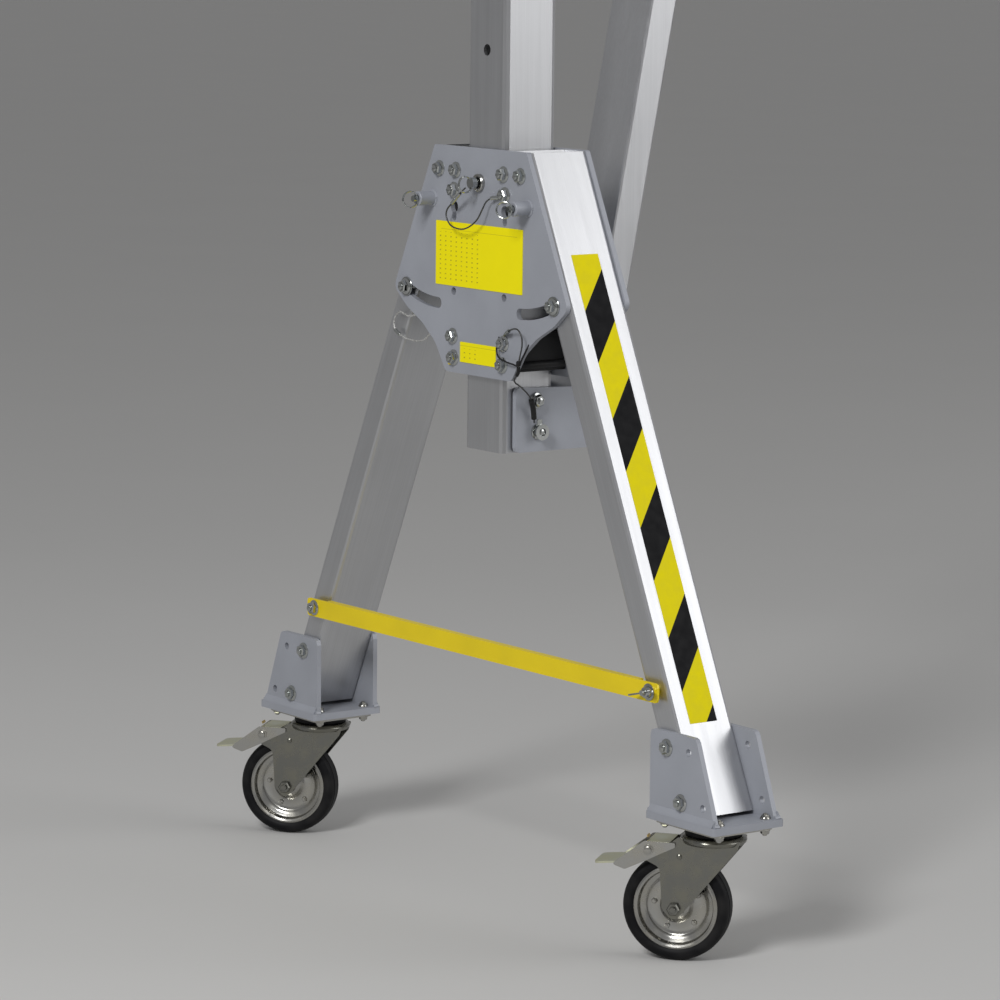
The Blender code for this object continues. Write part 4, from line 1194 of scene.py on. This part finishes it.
@dataclass(frozen=True)
class Castor(LegGroup):
    """Braked swivel castor under a foot."""

    seat_x: float = 0.513
    yaw: float = radians(38.6)
    trail: float = 0.052
    wheel_r: float = 0.08
    crown_top: float = 0.1896
    race: tuple[float, float, float] = (0.0428, 0.19, 0.2018)
    arm_y: float = 0.0235
    arm_thick: float = 0.004
    pedal_pivot: tuple[float, float] = (-0.091, 0.166)
    pedal_tip: float = -0.172
    tread_drop: float = 0.022
    tread_lean: float = radians(5.0)

    def build(self, frame: Mapping[str, object]) -> None:
        """Dress the top plate and make the race, fork, brake, rim and tyre."""
        seat = shift(self.side.value * self.seat_x, 0, 0)
        swivel = seat @ spin(self.yaw)
        axle = swivel @ shift(-self.trail, 0, self.wheel_r) @ FRONT
        self.dress(frame, "castor_plate", ZINC, 0.001)
        r, low, high = self.race
        seal = Form().turned([(0.0405, low), (r - 0.001, low), (r, low + 0.002), (r, high - 0.002),
                              (r - 0.001, high), (0.0405, high)], steps=48, ring=True)
        self.add(seal, "race_seal", "leg_body", TYRE, seat)
        self.add(self.fork(), "pressed_fork", "fork_body", DARK_ZINC, swivel, ["fork"], 0.0012)
        self.brake(swivel)
        self.add(self.rim(), "pressed_rim", "wheel_body", ZINC, axle, ["wheel_rim"])
        self.add(self.tread(), "solid_tyre", "wheel_body", TYRE, axle, ["tyre"])

    def fork(self) -> Form:
        """Crown with a rolled rim, two flaring arms, the axle and the rivets."""
        top, x, z = self.crown_top, *self.pedal_pivot
        low = top - 0.012
        made = Form().turned([(0, top), (0.04, top), (0.045, top - 0.0006), (0.0478, top - 0.003),
                              (0.049, top - 0.006), (0.0478, top - 0.0095),
                              (0.045, low), (0, low)], steps=48)
        arm = rounded([(0.045, top - 0.0035, 0.003), (0.04, top - 0.018, 0.012),
                       (-self.trail + 0.016, self.wheel_r - 0.002, 0.014),
                       (-self.trail - 0.001, self.wheel_r - 0.02, 0.016),
                       (-self.trail - 0.018, self.wheel_r - 0.002, 0.014),
                       (-self.trail - 0.022, 0.14, 0.014), (x - 0.01, 0.153, 0.01),
                       (x - 0.01, 0.1735, 0.006), (-0.062, 0.1745, 0.006),
                       (-0.048, top - 0.0035, 0.005)])
        hub = Form().turned([(0, 0), (0.01, 0), (0.01, 0.006), (0.0084, 0.0075), (0, 0.0075)],
                            HERE, 6)
        hub.turned([(0, 0.007), (0.005, 0.007), (0.005, 0.011), (0.004, 0.012), (0, 0.012)],
                   HERE, 16)
        rivet = Form().turned([(0, 0), (0.0042, 0), (0.0038, 0.0014), (0.0022, 0.0024),
                               (0, 0.0028)], HERE, 16)
        for turn, face in FACES:
            made.slab(arm, self.arm_thick, shift(0, -self.arm_y if face < 0
                                                 else self.arm_y + self.arm_thick, 0) @ FRONT,
                      [circle(x, z, 0.0054, 20)])
            outside = face * (self.arm_y + self.arm_thick)
            made.copies(hub, [shift(-self.trail, outside, self.wheel_r) @ turn])
            made.copies(rivet, [shift(-0.045, outside, 0.158) @ turn])
        reach = self.arm_y + self.arm_thick
        made.turned(rod(0.006, -reach, reach), shift(-self.trail, 0, self.wheel_r) @ FRONT, 20)
        return made

    def brake(self, swivel: Matrix) -> None:
        """Brake pedal: zinc side arms and pin, pale top plate and foot tread."""
        x, z = self.pedal_pivot
        inner = self.arm_y + self.arm_thick + 0.0003
        outer = inner + 0.003
        arm = rounded([(x + 0.04, z + 0.0125, 0.002), (x - 0.006, z + 0.013, 0.008),
                       (self.pedal_tip + 0.026, z - 0.024, 0.004),
                       (self.pedal_tip + 0.046, z - 0.031, 0.006), (x - 0.001, z - 0.015, 0.014),
                       (x + 0.01, z - 0.009, 0.01), (x + 0.04, z + 0.006, 0.002)])
        arms = Form()
        for y in (-inner, outer):
            arms.slab(arm, 0.003, shift(0, y, 0) @ FRONT)
        arms.turned(rod(0.0036, -outer - 0.0035, outer + 0.0035), shift(x, 0, z) @ FRONT, 20)
        cap = Form().turned([(0, 0), (0.0078, 0), (0.0078, 0.0012), (0.0058, 0.0016),
                             (0.0056, 0.0044), (0.0044, 0.005), (0, 0.005)], HERE, 24)
        arms.copies(cap, [shift(x, -outer, z) @ FRONT, shift(x, outer, z) @ REAR])
        self.add(arms, "brake_arms", "pedal_body", ZINC, swivel, ["brake_pedal"], 0.0008)
        plates = Form().slab(oblong(0.017, inner + 0.0008, 0.002), 0.0028,
                             shift(x + 0.015, 0, z + 0.0102))
        tread = rounded([(-0.016, -outer + 0.0006, 0.009), (0.028, -outer + 0.0006, 0.001),
                         (0.028, outer - 0.0006, 0.001), (-0.016, outer - 0.0006, 0.009)])
        plates.slab(tread, 0.003, shift(self.pedal_tip + 0.016, 0, z - self.tread_drop - 0.002)
                    @ spin(-self.tread_lean, "Y"))
        self.add(plates, "brake_tread", "pedal_body", CREAM, swivel, bevel=0.0009)
        tab = Form().slab(oblong(0.0022, 0.0075, 0.001), 0.0009,
                          shift(x - 0.004, -0.012, z + 0.0175) @ spin(1.2, "Y"))
        self.add(tab, "brake_tab", "pedal_body", BRASS, swivel)

    def rim(self) -> Form:
        """Pressed rim: rolled edge, stepped disc, hub and five fasteners a side."""
        near = [(0.0627, 0.0172), (0.06, 0.0184), (0.057, 0.0172), (0.0555, 0.014),
                (0.0545, 0.009), (0.05, 0.0072), (0.047, 0.0062), (0.0452, 0.004),
                (0.0425, 0.0028), (0.028, 0.003), (0.024, 0.0048), (0.0205, 0.01),
                (0.0165, 0.013), (0.014, 0.015), (0.014, 0.0226), (0.0066, 0.0228)]
        made = Form().turned(both_ways(near), steps=64, ring=True)
        nut = Form().turned([(0, 0), (0.0042, 0), (0.0042, 0.0026), (0.0034, 0.0034),
                             (0, 0.0034)], HERE, 6)
        nut.turned(rod(0.002, 0.003, 0.0052), HERE, 12)
        for k in range(5):
            turn = spin(2 * pi * k / 5 + 0.5)
            made.copies(nut, [turn @ shift(0.035, 0, 0.0026),
                              turn @ shift(0.035, 0, -0.0026) @ UNDER])
        return made

    def tread(self) -> Form:
        """Solid tyre with rounded shoulders and two grooves round the tread."""
        r = self.wheel_r
        near = [(r, 0.002), (r, 0.0075), (r - 0.0014, 0.0082), (r - 0.0014, 0.0096),
                (r - 0.0004, 0.0102), (r - 0.0008, 0.014), (r - 0.003, 0.0176),
                (r - 0.0065, 0.0196), (r - 0.011, 0.02), (0.0655, 0.0188), (0.063, 0.0172)]
        return Form().turned(both_ways(near), steps=72, ring=True)


@dataclass(frozen=True)
class TieBar(Group):
    """Yellow bar across the legs, bolted at one end and held by a wing nut."""

    bolt_x: float = 0.437
    z: float = 0.3945
    face: float = -0.0643

    def build(self, frame: Mapping[str, object]) -> None:
        """Dress the bar and add its bolt and wing nut."""
        self.dress(frame, "tie_bar", YELLOW, 0.001)
        bolt = FlangeBolt(0.01, 0.0095, 0.0125, 0.0).form()
        bolt.turned(rod(0.0048, -0.025, 0), HERE, 16)
        placed = Form().copies(bolt, [shift(-self.bolt_x, self.face, self.z) @ FRONT])
        self.add(placed, "tie_bar_bolt", "tie_bar_body", BRIGHT)
        nut = Form().turned([(0, 0), (0.0128, 0), (0.0128, 0.0014), (0.009, 0.0018),
                             (0.0078, 0.009), (0.006, 0.01), (0.0042, 0.01),
                             (0.0042, 0.015), (0, 0.015)], HERE, 24)
        nut.turned(rod(0.0048, -0.025, 0), HERE, 16)
        wing = rounded([(0.004, 0.002, 0.001), (0.013, 0.004, 0.003), (0.028, 0.012, 0.008),
                        (0.026, 0.021, 0.006), (0.014, 0.016, 0.006), (0.004, 0.009, 0.002)])
        for hand in (0.0, pi):
            nut.slab(wing, 0.0026, spin(hand + 0.25) @ shift(0, 0.0013, 0)
                     @ FRONT.inverted() @ spin(pi, "X"))
        self.add(nut, "wing_nut", "tie_bar_body", BRIGHT,
                 shift(self.bolt_x, self.face, self.z) @ FRONT, bevel=0.0005)


@dataclass(frozen=True)
class MastGroup(Group):
    """Mast, its slide collars, and the brace on its bracket."""

    bracket_bolts: tuple[tuple[float, float], ...] = ((0.008, 0.779), (0.011, 0.731))
    bracket_face: float = 0.0583
    brace_pivot: tuple[float, float] = (0.128, 0.75)

    def build(self, frame: Mapping[str, object]) -> None:
        """Dress the sections and bolt the bracket."""
        for node, finish, bevel in (("mast", UPRIGHT_TUBE, 0.0008),
                                    ("brace", UPRIGHT_TUBE, 0.0008),
                                    ("brace_bracket", GREY, 0.0014),
                                    ("upper_slide_collar", SLIDE, 0.001),
                                    ("lower_slide_collar", SLIDE, 0.001)):
            self.dress(frame, node, finish, bevel)
        bolt, bolts = FlangeBolt(washer=0.0118).form(), Form()
        for side, turn in SIDES.items():
            for y, z in (*self.bracket_bolts, self.brace_pivot):
                bolts.copies(bolt, [shift(side * self.bracket_face, y, z) @ turn])
        self.add(bolts, "bracket_bolts", "upper", BRIGHT)


@dataclass(frozen=True)
class Girder:
    """Girder with its trolley and the bolts that hold it to the masts."""

    under: float = 2.08
    flange: float = 0.012
    mast_plate: float = 0.0123
    head_bolts: tuple[tuple[float, float], ...] = (
        (0.035, 0.075), (-0.035, 0.075), (0.035, -0.075), (-0.035, -0.075))

    def build(self, frame: Mapping[str, object]) -> None:
        """Dress the girder and trolley and bolt them up."""
        dress(frame, "girder", LEVEL_TUBE, 0.0012)
        dress(frame, "trolley", ZINC, 0.0012)
        bolt, bolts = FlangeBolt().form(), Form()
        for end in End:
            for x, y in self.head_bolts:
                above = end.place() @ shift(x, y, self.under + self.flange)
                below = end.place() @ shift(x, y, self.under - self.mast_plate) @ UNDER
                bolts.copies(bolt, [above, below])
        bolts.piece("girder_bolts", "upper", BRIGHT)


@dataclass(frozen=True)
class Lamp:
    """Square soft lamp: where it hangs, the point it faces, its side and its strength."""

    name: str
    place: Point
    aim: Point
    size: float
    watts: float


@dataclass(frozen=True)
class Studio:
    """Camera, lamps, world and floor."""

    lamps: tuple[Lamp, ...] = (
        Lamp("card", (5.2, 2.8, 3.4), (0, -1.2, 0.8), 4.6, 145),
        Lamp("key", (2.4, -6.4, 4.4), (0, -1.4, 0.7), 1.6, 230))
    azimuth: float = radians(53.609)
    elevation: float = radians(8.198)
    roll: float = radians(0.563)
    lens: float = 154.7
    target: Point = (-0.0206, -1.7, 0.6163)
    distance: float = 6.6296
    world: float = 0.3
    floor: Colour = (0.6, 0.596, 0.585)
    floor_half: float = 90.0

    def camera(self) -> None:
        """Set the camera at the azimuth and elevation of the view."""
        a, e, r = self.azimuth, self.elevation, self.roll
        back = Vector((sin(a) * cos(e), -cos(a) * cos(e), sin(e)))
        right = Vector((cos(a), sin(a), 0))
        up = back.cross(right)
        turned_x = cos(r) * right + sin(r) * up
        turned_y = cos(r) * up - sin(r) * right
        data = bpy.data.cameras.new("camera")
        data.lens = self.lens
        data.clip_end = 200
        camera = put("camera", data)
        place = Matrix((turned_x, turned_y, back)).transposed().to_4x4()
        place.translation = Vector(self.target) + back * self.distance
        camera.matrix_world = place
        bpy.context.scene.camera = camera

    @staticmethod
    def hang(lamp: Lamp) -> None:
        """Hang a square soft lamp."""
        data = bpy.data.lights.new(lamp.name, "AREA")
        data.shape = "SQUARE"
        data.size = lamp.size
        data.energy = lamp.watts
        made = put(lamp.name, data)
        made.location = lamp.place
        toward = Vector(lamp.aim) - Vector(lamp.place)
        made.rotation_euler = toward.to_track_quat("-Z", "Y").to_euler()

    def build(self) -> None:
        """Set up everything that isn't the crane."""
        self.camera()
        scene = bpy.context.scene
        scene.view_settings.view_transform = "Standard"
        scene.world = bpy.data.worlds.new("studio")
        scene.world.use_nodes = True
        sky = scene.world.node_tree.nodes["Background"]
        sky.inputs["Color"].default_value = (self.world, self.world, self.world * 1.01, 1)
        for lamp in self.lamps:
            self.hang(lamp)
        self.floor_plane()

    def floor_plane(self) -> None:
        """Plain pale floor, faintly mottled."""
        graph = Graph("floor")
        cloud = graph.noise(1.5, 4.0)
        graph.coat(cloud, shade_of(self.floor, 0.97), self.floor, Roughness=0.7)
        mesh = bpy.data.meshes.new("floor")
        half = self.floor_half
        mesh.from_pydata([(-half, -half, 0), (half, -half, 0), (half, half, 0), (-half, half, 0)],
                         [], [(0, 1, 2, 3)])
        mesh.materials.append(graph.material)
        put("floor", mesh)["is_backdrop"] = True


def corners() -> list[list[float]]:
    """Lowest and highest corner of what shows, as plain numbers."""
    return [list(corner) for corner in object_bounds()]


def main() -> None:
    """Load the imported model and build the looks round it."""
    logging.basicConfig(level=logging.INFO, format="%(name)s: %(message)s")
    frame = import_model()
    Studio().build()
    Lanyards().build()
    LOG.info("camera, floor and lanyards")
    for end in End:
        Head(end).build()
        Plungers(end).build(frame)
        TieBar(end).build(frame)
        MastGroup(end).build(frame)
        for side in Side:
            Leg(end, side).build(frame)
            Castor(end, side).build(frame)
        LOG.info("%s end frame", end.value)
    Girder().build(frame)
    LOG.info("girder and trolley")


if __name__ == "__main__":
    main()
